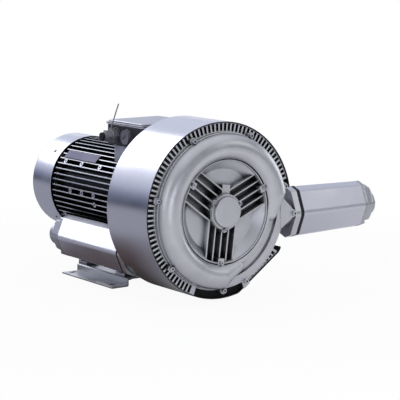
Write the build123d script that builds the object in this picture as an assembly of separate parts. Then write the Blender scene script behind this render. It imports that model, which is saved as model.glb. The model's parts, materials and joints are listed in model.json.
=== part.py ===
from build123d import *
import os
from math import atan2, cos, degrees, hypot, radians, sin, sqrt

# Two-stage side channel blower with its motor, two silencers and foot rails.
# Everything round the shaft is drawn face-on: x to the right, y up from the shaft, and depth
# counted backwards from the front edge of the drum. stand() then sets the drawing on its feet.
# Angles run anticlockwise from x, as seen from the front.

# Placement on the floor (mm)
SHAFT_HEIGHT = 260.0
FRONT_TO_FEET = 478.0

# Drum: the sheet band round both casings
DRUM_RADIUS = 250.0
BAND_THICKNESS = 2.0
BAND_DEPTH = 199.0
FLAT_ANGLE = -54.7
FLAT_DISTANCE = DRUM_RADIUS - 16
WINDOW_TOP = 46.0
WINDOW_BOTTOM = -125.0
WINDOW_DEPTH = 112.0

# Air outlet grille between the casings and the band
GRILLE_THICKNESS = 4.0
GRILLE_SETBACK = 2.0
GRILLE_CLEARANCE = 0.3
SLOT_PITCH = 3.333
SLOT_WIDTH = 8.4
SLOT_INNER = DRUM_RADIUS - 26.5
SLOT_LENGTH = 22.0
GRILLE_START = 17.0
GRILLE_END = 248.0
CORNER_START = -64.0
CORNER_END = -34.0
CORNER_SLOTS = 8

# Side channels
CHANNEL_CENTRE = DRUM_RADIUS - 68
CHANNEL_HALF = 31.0
CHANNEL_WALL = 7.0
CHANNEL_SETBACK = 5.0
STAGE_1_START = -3.0
STAGE_1_END = 282.0
STAGE_2_START = 300.0
STAGE_2_END = 582.0
NOSE_SHAPE = 0.985
NOSE_BACK = 13.0
NOSE_RUN = 17.0
NOSE_SOLID = 7.0
NOSE_END_HALF = 23.0
NOSE_END_RADIUS = CHANNEL_CENTRE - 14
CROSSOVER_START = 284.0
CROSSOVER_SWEEP = 22.0
CROSSOVER_HALF = 26.0

# Casings, by depth
CASING_RADIUS = DRUM_RADIUS - 30
LEDGE_RADIUS = DRUM_RADIUS - 24
COVER_BACK = 20.0
MIDDLE_DEPTH = 72.0
PARTITION = 14.0
REAR_FLANGE = 14.0
RECESS_RADIUS = CHANNEL_CENTRE - 39
RECESS_RIM = 22.0
RIM_LIP = 3.5
RIM_GROOVE = 3.0
RIM_GROOVE_FLOOR = 15.0
RIM_BAND = RECESS_RADIUS + 17
OUTER_RIM_INNER = CASING_RADIUS - 24
OUTER_RIM_FRONT = 8.0
PLATE_FRONT = 1.0
BOWL_RADIUS = RECESS_RADIUS - 25
BOWL_FLOOR = 3.0
FLOOR_FRONT = 13.0
BELL_RADIUS = CHANNEL_CENTRE - 58
BELL_WALL = 8.0

# Cooling ribs in the recess of the front cover
RIB_GROUP_ANGLE = 23.0
RIB_GROUPS = 3
RIBS_PER_GROUP = 5
RIB_SPACING = 23.0
RIB_THICKNESS = 4.0
RIB_FRONT = 14.0

# Bolt lugs of the casings
LUG_FIRST = 13.5
LUG_STEP = 360.0 / 7
LUGS = 6
LUG_CIRCLE = LEDGE_RADIUS
LUG_RADIUS = 10.0
LUG_FRONT = 9.0
CASING_BOLT = 8.0
CORNER_LUG = (DRUM_RADIUS * 0.32, -DRUM_RADIUS * 0.832)
ARM_LUG = (DRUM_RADIUS + 4, -30.0)

# Hub and front bearing
HUB_RADIUS = 51.0
HUB_FRONT = 21.0
EAR_CIRCLE = 50.0
EAR_RADIUS = 8.0
CAP_FLANGE = 5.0
CAP_BOSS_RADIUS = 43.0
CAP_BOSS = 9.0
CAP_SCREW = 6.0
BEARING_BORE = 40.0
BEARING_OUTSIDE = 90.0
BEARING_WIDTH = 23.0
BEARING_RING = 7.0
BEARING_BALLS = 8
BALL_RADIUS = 7.2
CAGE_THICKNESS = 3.0
BALL_CLEARANCE = 0.3
FRONT_BEARING = -15.0
FIT_CLEARANCE = 0.02
JOINT_CLEARANCE = 0.3

# Impellers
IMPELLER_RADIUS = LEDGE_RADIUS - 14
IMPELLER_WIDTH = 26.0
IMPELLER_GAP = 1.0
BLADE_COUNT = 36
BLADE_THICKNESS = 3.5
BLADE_RING_WIDTH = 52.0
POCKET_DEPTH = 20.0
IMPELLER_WEB = 9.0
IMPELLER_HUB_RADIUS = 38.0
IMPELLER_SEAT = 46.0
IMPELLER_KEY = 10.0

# Shaft
SHAFT_COLLAR = 56.0
ROTOR_SEAT = 54.0
FAN_SEAT = 34.0
NUT_RADIUS = 32.0
NUT_WIDTH = 8.0
SEAL_RADIUS = 36.0
SEAL_WIDTH = 8.0

# Motor
MOTOR_FRONT = 165.0
MOTOR_BACK = 684.0
MOTOR_FLANGE_RADIUS = 146.0
MOTOR_FLANGE = 12.0
MOTOR_TUBE_RADIUS = 121.0
STATOR_RADIUS = 112.0
STATOR_BORE = 150.0
AIR_GAP = 0.6
STATOR_FRONT = 380.0
STATOR_LENGTH = 200.0
WINDING_LENGTH = 44.0
FIN_COUNT = 52
FIN_TIP_RADIUS = 144.0
FIN_THICKNESS = 3.2
FIN_FRONT = 178.0
SHIELD_DEPTH = 52.0
SHIELD_WALL = 8.0
FAN_RADIUS = 122.0
FAN_BLADES = 7
FAN_WIDTH = 36.0
COWL_RADIUS = 147.0
COWL_THICKNESS = 1.6
COWL_FRONT = 686.0
COWL_BACK = 804.0
COWL_CORNER = 12.0
COWL_SCREW_DEPTH = 728.0

# Rating plate on the motor's flank, left bare
PLATE_ANGLE = 135.5
PLATE_SEAT = 145.0
PLATE_DEPTH = 566.0
PLATE_LENGTH = 176.0
PLATE_WIDTH = 26.0
PLATE_SHEET = 1.5

# Terminal box
BOX_LEFT = -96.0
BOX_WIDTH = 186.0
BOX_FRONT = 246.0
BOX_LENGTH = 192.0
BOX_BOTTOM = 154.0
BOX_TOP = 211.0
BOX_WALL = 5.0
LID_GASKET = 3.0
LID_THICKNESS = 12.0
LID_RIM = 6.0
LID_STEP = 5.0
LID_OVERHANG = 3.0
PEDESTAL_WIDTH = 196.0
PEDESTAL_FRONT = 236.0
PEDESTAL_LENGTH = 158.0
GLAND_DEPTH = 386.0
PLUG_DEPTH = 324.0
ENTRY_HEIGHT = 183.0
ENTRY_RADIUS = 16.0
TIE_TAIL = 88.0
TIE_LEAN = 27.0

# Silencers: a rounded hexagon with crowned ends
FLANGE_THICKNESS = 20.0
SILENCER_WALL = 3.5
SILENCER_CORNER = 0.86
CAP_EAR = 9.0
SHELL_SCREW = 5.0
SCREW_POST = 30.0
SCREW_POST_RADIUS = 5.5
PORT_RADIUS = 28.3
PORT_LENGTH = 30.0
PIPE_RADIUS = 30.0
PIPE_WALL = 1.5
NECK_RADIUS = 38.0
NECK_BORE = 29.0
RIGHT_DEPTH = 50.0
RIGHT_HEIGHT = -36.0
RIGHT_HALF = (53.0, 75.0)
RIGHT_TAPER = 0.93
RIGHT_FLANGE_FACE = DRUM_RADIUS + 40
RIGHT_GASKET = 12.0
RIGHT_TUBE = 243.0
RIGHT_CAP = 45.0
LEFT_CENTRE = (-152.0, -136.0)
LEFT_HALF = (48.0, 67.0)
LEFT_TAPER = 0.97
LEFT_FLANGE_FACE = 229.0
LEFT_GASKET = 8.0
LEFT_TUBE = 328.0
LEFT_CAP = 60.0

# Feet
RAIL_SHEET = 4.0
RAIL_HEIGHT = 25.0
RAIL_WEB = 96.0
RAIL_FOOT = 58.0
RAIL_SHELF = 42.0
RAIL_FRONT = 326.0
RAIL_LENGTH = 284.0
RAIL_BEND = 5.0
FOOT_SLOT_ACROSS = 252.0
FOOT_SLOT_ALONG = 222.0
FOOT_SLOT_WIDTH = 14.0
FOOT_SLOT_LENGTH = 26.0
BRACKET_DEPTHS = (372.0, 584.0)
BRACKET_THICKNESS = 16.0
BRACKET_PAD = 46.0
BRACKET_BOLT = 10.0
PAD_BOTTOM = 152.0

# Worked-out depths and radii
COVER_CHANNEL = -CHANNEL_SETBACK
IMPELLER_1_FRONT = COVER_BACK + IMPELLER_GAP
MIDDLE_BACK = COVER_BACK + MIDDLE_DEPTH
PARTITION_FRONT = IMPELLER_1_FRONT + IMPELLER_WIDTH + IMPELLER_GAP
PARTITION_BACK = PARTITION_FRONT + PARTITION
IMPELLER_2_BACK = MIDDLE_BACK - IMPELLER_GAP
IMPELLER_2_FRONT = IMPELLER_2_BACK - IMPELLER_WIDTH
REAR_CHANNEL = MIDDLE_BACK + REAR_FLANGE + CHANNEL_SETBACK + 6
CHANNEL_OUTSIDE = CHANNEL_HALF + CHANNEL_WALL
CHAMBER_RADIUS = IMPELLER_RADIUS + IMPELLER_GAP
REAR_BEARING = MOTOR_BACK + 16
BAND_INSIDE = DRUM_RADIUS - BAND_THICKNESS
FOOT_LEVEL = -SHAFT_HEIGHT


def bar(radius, front, back, x=0.0, y=0.0):
    """A round bar along the shaft direction between two depths."""
    return Pos(x, y, -(front + back) / 2) * Cylinder(radius, back - front)


def tube(outer, inner, front, back, x=0.0, y=0.0):
    """A plain ring along the shaft direction."""
    return Pos(x, y, -back) * extrude(Circle(outer) - Circle(inner), back - front)


def block(x0, x1, y0, y1, front, back):
    """A box between two corners."""
    size = Box(x1 - x0, y1 - y0, back - front)
    return Pos((x0 + x1) / 2, (y0 + y1) / 2, -(front + back) / 2) * size


def plate(sketch, front, back):
    """A flat outline, drawn face-on, given a thickness along the shaft direction."""
    return Pos(0, 0, -back) * extrude(sketch, back - front)


def half_section(sketch):
    """A sketch in (radius, -depth) stood up in the plane of the shaft, ready to be turned."""
    return Plane.XZ * sketch


def turned(*points, start=0.0, sweep=360.0):
    """A profile of (radius, depth) points turned round the shaft."""
    outline = [(radius, -depth) for radius, depth in points]
    section = half_section(make_face(Polyline(*outline, close=True)))
    return Rot(0, 0, start) * revolve(section, Axis.Z, revolution_arc=sweep)


def round_about(radius, angle):
    """The point at a radius and an angle in degrees."""
    return radius * cos(radians(angle)), radius * sin(radians(angle))


def wedge(start, sweep, radius):
    """A sector of a disc, as a sketch."""
    steps = max(2, int(sweep / 30) + 1)
    reach = radius / cos(radians(sweep / (2 * steps)))
    rim = [round_about(reach, start + sweep * i / steps) for i in range(steps + 1)]
    return make_face(Polyline((0, 0), *rim, close=True))


def few_sided(radius, x, depth):
    """A round profile drawn with eight flats that clear the circle."""
    return Pos(x, -depth) * Rot(0, 0, 22.5) * RegularPolygon(radius / cos(radians(22.5)), 8)


def inner_channel(half, middle, back, start, end):
    """The air space of a side channel, with plain ends where the ball noses begin."""
    low, high = sorted((middle, back))
    away = 2 * half if back < middle else -2 * half
    section = few_sided(half, CHANNEL_CENTRE, middle)
    section += Pos(CHANNEL_CENTRE, -(low + high) / 2) * Rectangle(2 * half, high - low)
    section -= Pos(CHANNEL_CENTRE, -back + away) * Rectangle(4 * half, 4 * half)
    beyond = degrees(half * 0.5 / CHANNEL_CENTRE)
    sweep = end - start + 2 * beyond
    return Rot(0, 0, start - beyond) * revolve(half_section(section), Axis.Z, revolution_arc=sweep)


def channel_section(half, middle, back):
    """Half a round and the straight run behind it: the section of a side channel."""
    low, high = sorted((middle, back))
    away = 2 * half if back < middle else -2 * half
    run = Pos(CHANNEL_CENTRE, -(low + high) / 2) * Rectangle(2 * half, high - low)
    section = Pos(CHANNEL_CENTRE, -middle) * Circle(half) + run
    beyond = Pos(CHANNEL_CENTRE, -back + away) * Rectangle(4 * half, 4 * half)
    return half_section(section - beyond)


def channel(half, middle, back, start, end):
    """The bulge of a side channel swept round the shaft, with a ball-shaped nose at each end."""
    nose = NOSE_SHAPE
    sweep = end - start
    body = Rot(0, 0, start) * revolve(channel_section(half, middle, back), Axis.Z, revolution_arc=sweep)
    low, high = sorted((middle, back))
    for angle in (start, end):
        x, y = round_about(CHANNEL_CENTRE, angle)
        ball = Pos(x, y, -middle) * Rot(0, 0, angle) * Sphere(half * nose)
        far = back if back > middle else back - 3 * half
        ball -= block(x - half, x + half, y - half, y + half, far, far + 3 * half)
        body += ball + bar(half * nose, low, high, x, y)
    return body


def cover_bulge(back):
    """The cover's bulge; each end narrows towards the recess rim and closes with a small ball."""
    start, end = STAGE_1_START + NOSE_BACK, STAGE_1_END - NOSE_BACK
    section = channel_section(CHANNEL_OUTSIDE, COVER_CHANNEL, back)
    body = Rot(0, 0, start) * revolve(section, Axis.Z, revolution_arc=end - start)
    for angle, turn in ((start, -NOSE_RUN), (end, NOSE_RUN)):
        wide = Rot(0, 0, angle) * Rot(90, 0, 0) * Pos(CHANNEL_CENTRE, -COVER_CHANNEL)
        narrow = Rot(0, 0, angle + turn) * Rot(90, 0, 0) * Pos(NOSE_END_RADIUS, -COVER_CHANNEL)
        nose = loft([wide * Circle(CHANNEL_OUTSIDE), narrow * Circle(NOSE_END_HALF)])
        x, y = round_about(NOSE_END_RADIUS, angle + turn)
        nose += Pos(x, y, -COVER_CHANNEL) * Rot(0, 0, angle + turn) * Sphere(NOSE_END_HALF * NOSE_SHAPE)
        nose -= block(-300, 300, -300, 300, back, back + 100)
        body += nose
    return body


def socket_screw(size, grip, x, y, seat, flip=False):
    """A socket head cap screw along the shaft direction, its head in front of the seat."""
    head = Cylinder(size * 0.75, size, align=(Align.CENTER, Align.CENTER, Align.MIN))
    socket = extrude(RegularPolygon(size * 0.45, 6), size * 0.6)
    shank = Cylinder(size / 2, grip, align=(Align.CENTER, Align.CENTER, Align.MAX))
    screw = head - Pos(0, 0, size * 0.4) * socket + shank
    if flip:
        screw = Rot(180, 0, 0) * screw
    return Pos(x, y, -seat) * screw


def hexagon(half_width, half_height):
    """The silencer's section: a tall rounded hexagon whose two short sides are crowned."""
    shoulder = half_height * SILENCER_CORNER
    outline = [
        (-half_width, 0),
        (-half_width / 2, shoulder),
        (0, half_height),
        (half_width / 2, shoulder),
        (half_width, 0),
        (half_width / 2, -shoulder),
        (0, -half_height),
        (-half_width / 2, -shoulder),
    ]
    face = make_face(Polyline(*outline, close=True))
    flanks = [v for v in face.vertices() if abs(v.Y) < 1]
    face = fillet(flanks, half_height * 0.36)
    corners = [v for v in face.vertices() if abs(abs(v.Y) - shoulder) < 0.01]
    return fillet(corners, half_height * 0.13)


def lug_places():
    """The bolt lugs round the cover, then the two corner lugs by the inlet."""
    places = [round_about(LUG_CIRCLE, LUG_FIRST + LUG_STEP * i) for i in range(LUGS)]
    return places + [CORNER_LUG, ARM_LUG]


def ear_places(circle):
    """Three places, one on the middle line of each rib group."""
    step = 360.0 / RIB_GROUPS
    return [round_about(circle, RIB_GROUP_ANGLE + step * i) for i in range(RIB_GROUPS)]


def drum_outline(inset):
    """The drum's outline face-on: a circle with one flat at the lower right."""
    circle = Circle(DRUM_RADIUS - inset)
    off = Rot(0, 0, FLAT_ANGLE) * Pos(FLAT_DISTANCE - inset + DRUM_RADIUS, 0) * Rectangle(
        2 * DRUM_RADIUS, 4 * DRUM_RADIUS
    )
    return circle - off


def drum_band():
    """The sheet round the casings, with a window for the inlet neck on the right."""
    band = plate(drum_outline(0) - drum_outline(BAND_THICKNESS), 0, BAND_DEPTH)
    window = block(DRUM_RADIUS / 2, DRUM_RADIUS + 5, WINDOW_BOTTOM, WINDOW_TOP, -1, WINDOW_DEPTH)
    return band - window


def grille_slots(start, end):
    """The slots of the grille between two angles, as one sketch."""
    count = int((end - start) / SLOT_PITCH)
    middle = SLOT_INNER + SLOT_LENGTH / 2
    slots = Sketch()
    for i in range(count):
        angle = start + SLOT_PITCH * (i + 0.5)
        slots += Rot(0, 0, angle) * Pos(middle, 0) * Rectangle(SLOT_LENGTH, SLOT_WIDTH)
    return slots


def lug_notches():
    """Room round the bolt lugs, as one sketch."""
    room = Sketch()
    for x, y in lug_places()[:LUGS]:
        room += Pos(x, y) * Circle(LUG_RADIUS + JOINT_CLEARANCE)
    return room


def grille():
    """The slotted air outlet on the ledge of the cover, and its short piece at the flat."""
    front, back = GRILLE_SETBACK, GRILLE_SETBACK + GRILLE_THICKNESS
    ring = Circle(BAND_INSIDE - GRILLE_CLEARANCE) - Circle(CASING_RADIUS + GRILLE_CLEARANCE)
    long_piece = ring & wedge(GRILLE_START, GRILLE_END - GRILLE_START, DRUM_RADIUS * 1.2)
    long_piece -= grille_slots(GRILLE_START + 1, GRILLE_END - 1)
    long_piece -= lug_notches()
    corner = drum_outline(BAND_THICKNESS + GRILLE_CLEARANCE) - Circle(CASING_RADIUS + GRILLE_CLEARANCE)
    corner &= wedge(CORNER_START, CORNER_END - CORNER_START, DRUM_RADIUS * 1.2)
    openings = Sketch()
    for i in range(CORNER_SLOTS):
        angle = CORNER_START + 2.2 + SLOT_PITCH * (i + 0.5)
        reach = (FLAT_DISTANCE - BAND_THICKNESS - 3) / cos(radians(angle - FLAT_ANGLE))
        length = min(reach, SLOT_INNER + SLOT_LENGTH) - SLOT_INNER
        middle = SLOT_INNER + length / 2
        openings += Rot(0, 0, angle) * Pos(middle, 0) * Rectangle(length, SLOT_WIDTH)
    corner -= openings
    return plate(long_piece, front, back), plate(corner, front, back)


def rib_pack(front, back, inner, outer):
    """Three groups of straight parallel ribs, each group along its own radius."""
    wide = RIB_SPACING * (RIBS_PER_GROUP - 1) / 2
    packs = Sketch()
    for i in range(RIB_GROUPS):
        angle = RIB_GROUP_ANGLE + 360.0 / RIB_GROUPS * i
        ribs = Sketch()
        for k in range(RIBS_PER_GROUP):
            across = -wide + RIB_SPACING * k
            ribs += Pos(outer / 2, across) * Rectangle(outer, RIB_THICKNESS)
        sector = wedge(-60, 120, outer * 1.2)
        packs += Rot(0, 0, angle) * (ribs & sector)
    packs &= Circle(outer) - Circle(inner)
    return plate(packs, front, back)


def rib_pockets(inner, outer):
    """The deep pockets in which the rib groups stand, as one sketch."""
    wide = RIB_SPACING * (RIBS_PER_GROUP - 1)
    pockets = Sketch()
    for i in range(RIB_GROUPS):
        angle = RIB_GROUP_ANGLE + 360.0 / RIB_GROUPS * i
        pockets += Rot(0, 0, angle) * Pos(outer / 2, 0) * Rectangle(outer, wide)
    return pockets & (Circle(outer) - Circle(inner))


def front_cover():
    """The cast cover: the front half of stage 1, the ribbed recess and the front bearing hub."""
    back = COVER_BACK
    groove_inner = RECESS_RADIUS + RIM_LIP
    cover = turned(
        (RECESS_RADIUS, -RECESS_RIM),
        (RIM_BAND, -RECESS_RIM),
        (RIM_BAND, -PLATE_FRONT),
        (OUTER_RIM_INNER, -PLATE_FRONT),
        (OUTER_RIM_INNER, -OUTER_RIM_FRONT),
        (CASING_RADIUS, -OUTER_RIM_FRONT),
        (CASING_RADIUS, GRILLE_SETBACK + GRILLE_THICKNESS),
        (LEDGE_RADIUS, GRILLE_SETBACK + GRILLE_THICKNESS),
        (LEDGE_RADIUS, back),
        (HUB_RADIUS - 6, back),
        (HUB_RADIUS - 6, BOWL_FLOOR),
        (BOWL_RADIUS, BOWL_FLOOR),
        (RECESS_RADIUS, -RECESS_RIM + 5),
    )
    cover += cover_bulge(back - 1)
    start = STAGE_1_START + NOSE_BACK + NOSE_SOLID
    end = STAGE_1_END - NOSE_BACK - NOSE_SOLID
    cover -= inner_channel(CHANNEL_HALF, COVER_CHANNEL, back + 1, start, end)
    cover -= tube(groove_inner + RIM_GROOVE, groove_inner, -2 * CHANNEL_HALF, -RIM_GROOVE_FLOOR)
    pockets = rib_pockets(HUB_RADIUS - 3, RECESS_RADIUS - 1)
    cover -= plate(pockets, -RECESS_RIM - 1, FLOOR_FRONT)
    cover += rib_pack(-RIB_FRONT, FLOOR_FRONT + 1, HUB_RADIUS - 3, RECESS_RADIUS + 1)
    cover += bar(HUB_RADIUS, -HUB_FRONT, back)
    opposite = RIB_GROUP_ANGLE + 180.0 / RIB_GROUPS
    lump = block(HUB_RADIUS - 3, HUB_RADIUS + 24, -13, 13, -RIB_FRONT, BOWL_FLOOR + 1)
    cover += Rot(0, 0, opposite) * lump
    for x, y in ear_places(EAR_CIRCLE):
        cover += bar(EAR_RADIUS, -HUB_FRONT, FLOOR_FRONT + 1, x, y)
    for x, y in ear_places(RECESS_RADIUS + 3):
        angle = degrees(atan2(y, x))
        ear = block(-15, 12, -10, 10, -RECESS_RIM - 3, FLOOR_FRONT + 1)
        cover += Pos(x, y, 0) * Rot(0, 0, angle) * ear
    bearing_front, bearing_back = FRONT_BEARING, FRONT_BEARING + BEARING_WIDTH
    cover -= bar(BEARING_OUTSIDE / 2 + FIT_CLEARANCE, -HUB_FRONT - 1, bearing_back)
    cover -= bar(SEAL_RADIUS + FIT_CLEARANCE, bearing_back - 1, back + 1)
    for x, y in lug_places()[:LUGS]:
        cover += bar(LUG_RADIUS, -LUG_FRONT, back, x, y)
    cover += corner_lug(-LUG_FRONT, back)
    cover += arm(-LUG_FRONT, -LUG_FRONT + 12)
    for x, y in lug_places():
        cover -= bar(CASING_BOLT / 2 + JOINT_CLEARANCE, -30, back + 1, x, y)
    for x, y in ear_places(EAR_CIRCLE):
        cover -= bar(CAP_SCREW / 2, -HUB_FRONT - 1, 6, x, y)
    for x, y in ear_places(RECESS_RADIUS):
        cover -= bar(CAP_SCREW / 2, -RECESS_RIM - 4, 4, x, y)
    return cover


def corner_lug(front, back):
    """The square lug that reaches out to the band beside the inlet."""
    x, y = CORNER_LUG
    angle = degrees(atan2(y, x))
    root = CHAMBER_RADIUS + 3 - hypot(x, y)
    lug = Pos(x, y, 0) * Rot(0, 0, angle) * block(root, 18, -12, 12, front, back)
    return lug & plate(drum_outline(BAND_THICKNESS + JOINT_CLEARANCE), front, back)


def arm(front, back):
    """The tapering arm from the cover's rim to the boss on the inlet neck."""
    x, y = ARM_LUG
    root = [(CASING_RADIUS - 14, 26), (CASING_RADIUS - 14, -72)]
    body = make_face(Polyline(root[0], (x, y + LUG_RADIUS), (x, y - LUG_RADIUS), root[1], close=True))
    return plate(body + Pos(x, y) * Circle(LUG_RADIUS + 1), front, back)


def middle_casing():
    """The ring between the stages: outer wall, partition, crossover port and inlet neck."""
    front, back = COVER_BACK, MIDDLE_BACK
    casing = turned(
        (LEDGE_RADIUS, front),
        (LEDGE_RADIUS, back),
        (CHAMBER_RADIUS, back),
        (CHAMBER_RADIUS, PARTITION_BACK),
        (IMPELLER_HUB_RADIUS + JOINT_CLEARANCE, PARTITION_BACK),
        (IMPELLER_HUB_RADIUS + JOINT_CLEARANCE, PARTITION_FRONT),
        (CHAMBER_RADIUS, PARTITION_FRONT),
        (CHAMBER_RADIUS, front),
    )
    for x, y in lug_places()[:LUGS]:
        casing += bar(LUG_RADIUS, front, back, x, y)
    casing += corner_lug(front, back)
    neck_start = sqrt(LEDGE_RADIUS**2 - RIGHT_HEIGHT**2) - 10
    place = Pos(neck_start, RIGHT_HEIGHT, -RIGHT_DEPTH) * Rot(0, 90, 0)
    neck_length = RIGHT_FLANGE_FACE - FLANGE_THICKNESS - neck_start
    neck = place * Cylinder(NECK_RADIUS, neck_length, align=(Align.CENTER, Align.CENTER, Align.MIN))
    neck += right_prism(RIGHT_FLANGE_FACE - FLANGE_THICKNESS, RIGHT_FLANGE_FACE, 1.0)
    neck -= bar(LEDGE_RADIUS + JOINT_CLEARANCE, -40, front)
    x, y = ARM_LUG
    neck += bar(LUG_RADIUS + 1, -LUG_FRONT + 12, RIGHT_DEPTH - NECK_RADIUS / 2, x, y)
    casing += neck - bar(CHAMBER_RADIUS, 0, back + 40)
    mouth_height, mouth_width = 2 * NECK_BORE, IMPELLER_WIDTH - 4
    mouth_depth = IMPELLER_1_FRONT + IMPELLER_WIDTH / 2
    mouth_x = CHAMBER_RADIUS - 24
    mouth = Plane((mouth_x, RIGHT_HEIGHT, -mouth_depth), x_dir=(0, 0, -1), z_dir=(1, 0, 0))
    bore_x = RIGHT_FLANGE_FACE - FLANGE_THICKNESS / 2
    bore = Plane((bore_x, RIGHT_HEIGHT, -RIGHT_DEPTH), x_dir=(0, 0, -1), z_dir=(1, 0, 0))
    casing -= loft([mouth * RectangleRounded(mouth_width, mouth_height, 8), bore * Circle(NECK_BORE - 2)])
    flange_bore = Pos(RIGHT_FLANGE_FACE, RIGHT_HEIGHT, -RIGHT_DEPTH) * Rot(0, 90, 0)
    casing -= flange_bore * Cylinder(NECK_BORE, 2 * FLANGE_THICKNESS)
    crossover = Circle(CHANNEL_CENTRE + CROSSOVER_HALF) - Circle(CHANNEL_CENTRE - CROSSOVER_HALF)
    crossover &= wedge(CROSSOVER_START, CROSSOVER_SWEEP, DRUM_RADIUS)
    casing -= plate(crossover, PARTITION_FRONT - 1, PARTITION_BACK + 1)
    for x, y in lug_places():
        casing -= bar(CASING_BOLT / 2, front - 40, front + 26, x, y)
    for x, y in rear_bolt_places():
        casing -= bar(CASING_BOLT / 2, back - 22, back + 1, x, y)
    return casing


def rear_bolt_places():
    """The bolts that hold the rear casing, in the cover's lugs clear of the outlet neck."""
    x, y = LEFT_CENTRE
    clear = NECK_RADIUS + CASING_BOLT
    return [place for place in lug_places()[:LUGS] if hypot(place[0] - x, place[1] - y) > clear]


def right_prism(start, end, scale, shrink=0.0):
    """A length of the right silencer's section, along x."""
    w, h = RIGHT_HALF
    section = hexagon(w * scale - shrink, h * scale - shrink)
    place = Plane((start, RIGHT_HEIGHT, -RIGHT_DEPTH), x_dir=(0, 0, -1), z_dir=(1, 0, 0))
    return extrude(place * section, end - start)


def rear_casing():
    """The cast casing behind stage 2: its channel, outlet neck and the bell that holds the motor."""
    front = MIDDLE_BACK
    casing = turned(
        (LEDGE_RADIUS, front),
        (LEDGE_RADIUS, front + REAR_FLANGE),
        (BELL_RADIUS + BELL_WALL, front + REAR_FLANGE),
        (BELL_RADIUS + BELL_WALL, MOTOR_FRONT - MOTOR_FLANGE),
        (MOTOR_FLANGE_RADIUS, MOTOR_FRONT - MOTOR_FLANGE),
        (MOTOR_FLANGE_RADIUS, MOTOR_FRONT),
        (STATOR_RADIUS, MOTOR_FRONT),
        (BELL_RADIUS, MOTOR_FRONT - MOTOR_FLANGE),
        (BELL_RADIUS, front + REAR_FLANGE),
        (HUB_RADIUS, front + REAR_FLANGE),
        (HUB_RADIUS, front + REAR_FLANGE + 10),
        (SEAL_RADIUS + FIT_CLEARANCE, front + REAR_FLANGE + 10),
        (SEAL_RADIUS + FIT_CLEARANCE, front),
    )
    casing += channel(CHANNEL_OUTSIDE, REAR_CHANNEL, front + 1, STAGE_2_START, STAGE_2_END)
    x, y = LEFT_CENTRE
    neck_end = LEFT_FLANGE_FACE - FLANGE_THICKNESS
    casing += bar(NECK_RADIUS, front + REAR_FLANGE - 1, neck_end, x, y)
    casing += left_prism(neck_end, LEFT_FLANGE_FACE, 1.0)
    casing -= inner_channel(CHANNEL_HALF, REAR_CHANNEL, front - 1, STAGE_2_START, STAGE_2_END)
    casing -= bar(NECK_BORE, REAR_CHANNEL, LEFT_FLANGE_FACE + 1, x, y)
    for x, y in rear_bolt_places():
        casing += bar(LUG_RADIUS, front, front + REAR_FLANGE, x, y)
        casing -= bar(CASING_BOLT / 2 + JOINT_CLEARANCE, front - 1, front + REAR_FLANGE + 1, x, y)
    for angle in (45, 135, 180, 315):
        rest = block(CASING_RADIUS - 4, DRUM_RADIUS, -7, 7, front + 2, REAR_CHANNEL + 20)
        rest = Rot(0, 0, angle) * rest
        casing += rest & plate(drum_outline(BAND_THICKNESS + JOINT_CLEARANCE), 0, BAND_DEPTH)
    for x, y in motor_bolt_places():
        casing -= bar(BRACKET_BOLT / 2, MOTOR_FRONT - MOTOR_FLANGE - 1, MOTOR_FRONT + 1, x, y)
    return casing


def left_prism(front, back, scale, shrink=0.0):
    """A length of the left silencer's section, along the shaft direction."""
    w, h = LEFT_HALF
    x, y = LEFT_CENTRE
    section = hexagon(w * scale - shrink, h * scale - shrink)
    return plate(Pos(x, y) * section, front, back)


def motor_bolt_places():
    """Four bolts between the bell and the motor flange."""
    return [round_about(MOTOR_FLANGE_RADIUS - 8, 45 + 90 * i) for i in range(4)]


def impeller(web_side):
    """An impeller at depth 0 with its blade pockets open to the front; web_side turns it round."""
    inner = IMPELLER_RADIUS - BLADE_RING_WIDTH - 4
    outer = IMPELLER_RADIUS - 4
    floor = POCKET_DEPTH
    wheel = turned(
        (IMPELLER_SEAT / 2 + FIT_CLEARANCE, 0),
        (IMPELLER_HUB_RADIUS, 0),
        (IMPELLER_HUB_RADIUS, IMPELLER_WIDTH / 2 - IMPELLER_WEB / 2),
        (inner - 6, IMPELLER_WIDTH / 2 - IMPELLER_WEB / 2),
        (inner - 6, 0),
        (inner, 0),
        (inner + floor / 2, floor * 0.85),
        (inner + floor, floor),
        (outer - floor, floor),
        (outer - floor / 2, floor * 0.85),
        (outer, 0),
        (IMPELLER_RADIUS, 0),
        (IMPELLER_RADIUS, IMPELLER_WIDTH),
        (inner - 6, IMPELLER_WIDTH),
        (inner - 6, IMPELLER_WIDTH / 2 + IMPELLER_WEB / 2),
        (IMPELLER_HUB_RADIUS, IMPELLER_WIDTH / 2 + IMPELLER_WEB / 2),
        (IMPELLER_HUB_RADIUS, IMPELLER_WIDTH),
        (IMPELLER_SEAT / 2 + FIT_CLEARANCE, IMPELLER_WIDTH),
    )
    blades = Sketch()
    for i in range(BLADE_COUNT):
        middle = (inner + outer) / 2
        length = outer - inner + 6
        blades += Rot(0, 0, 360 / BLADE_COUNT * i) * Pos(middle, 0) * Rectangle(length, BLADE_THICKNESS)
    wheel += plate(blades, 0.5, floor + 2)
    wheel -= block(-IMPELLER_KEY / 2, IMPELLER_KEY / 2, 0, IMPELLER_SEAT / 2 + 4, -1, IMPELLER_WIDTH + 1)
    if web_side == "front":
        wheel = Pos(0, 0, -IMPELLER_WIDTH) * Rot(0, 180, 0) * wheel
    return wheel


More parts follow.
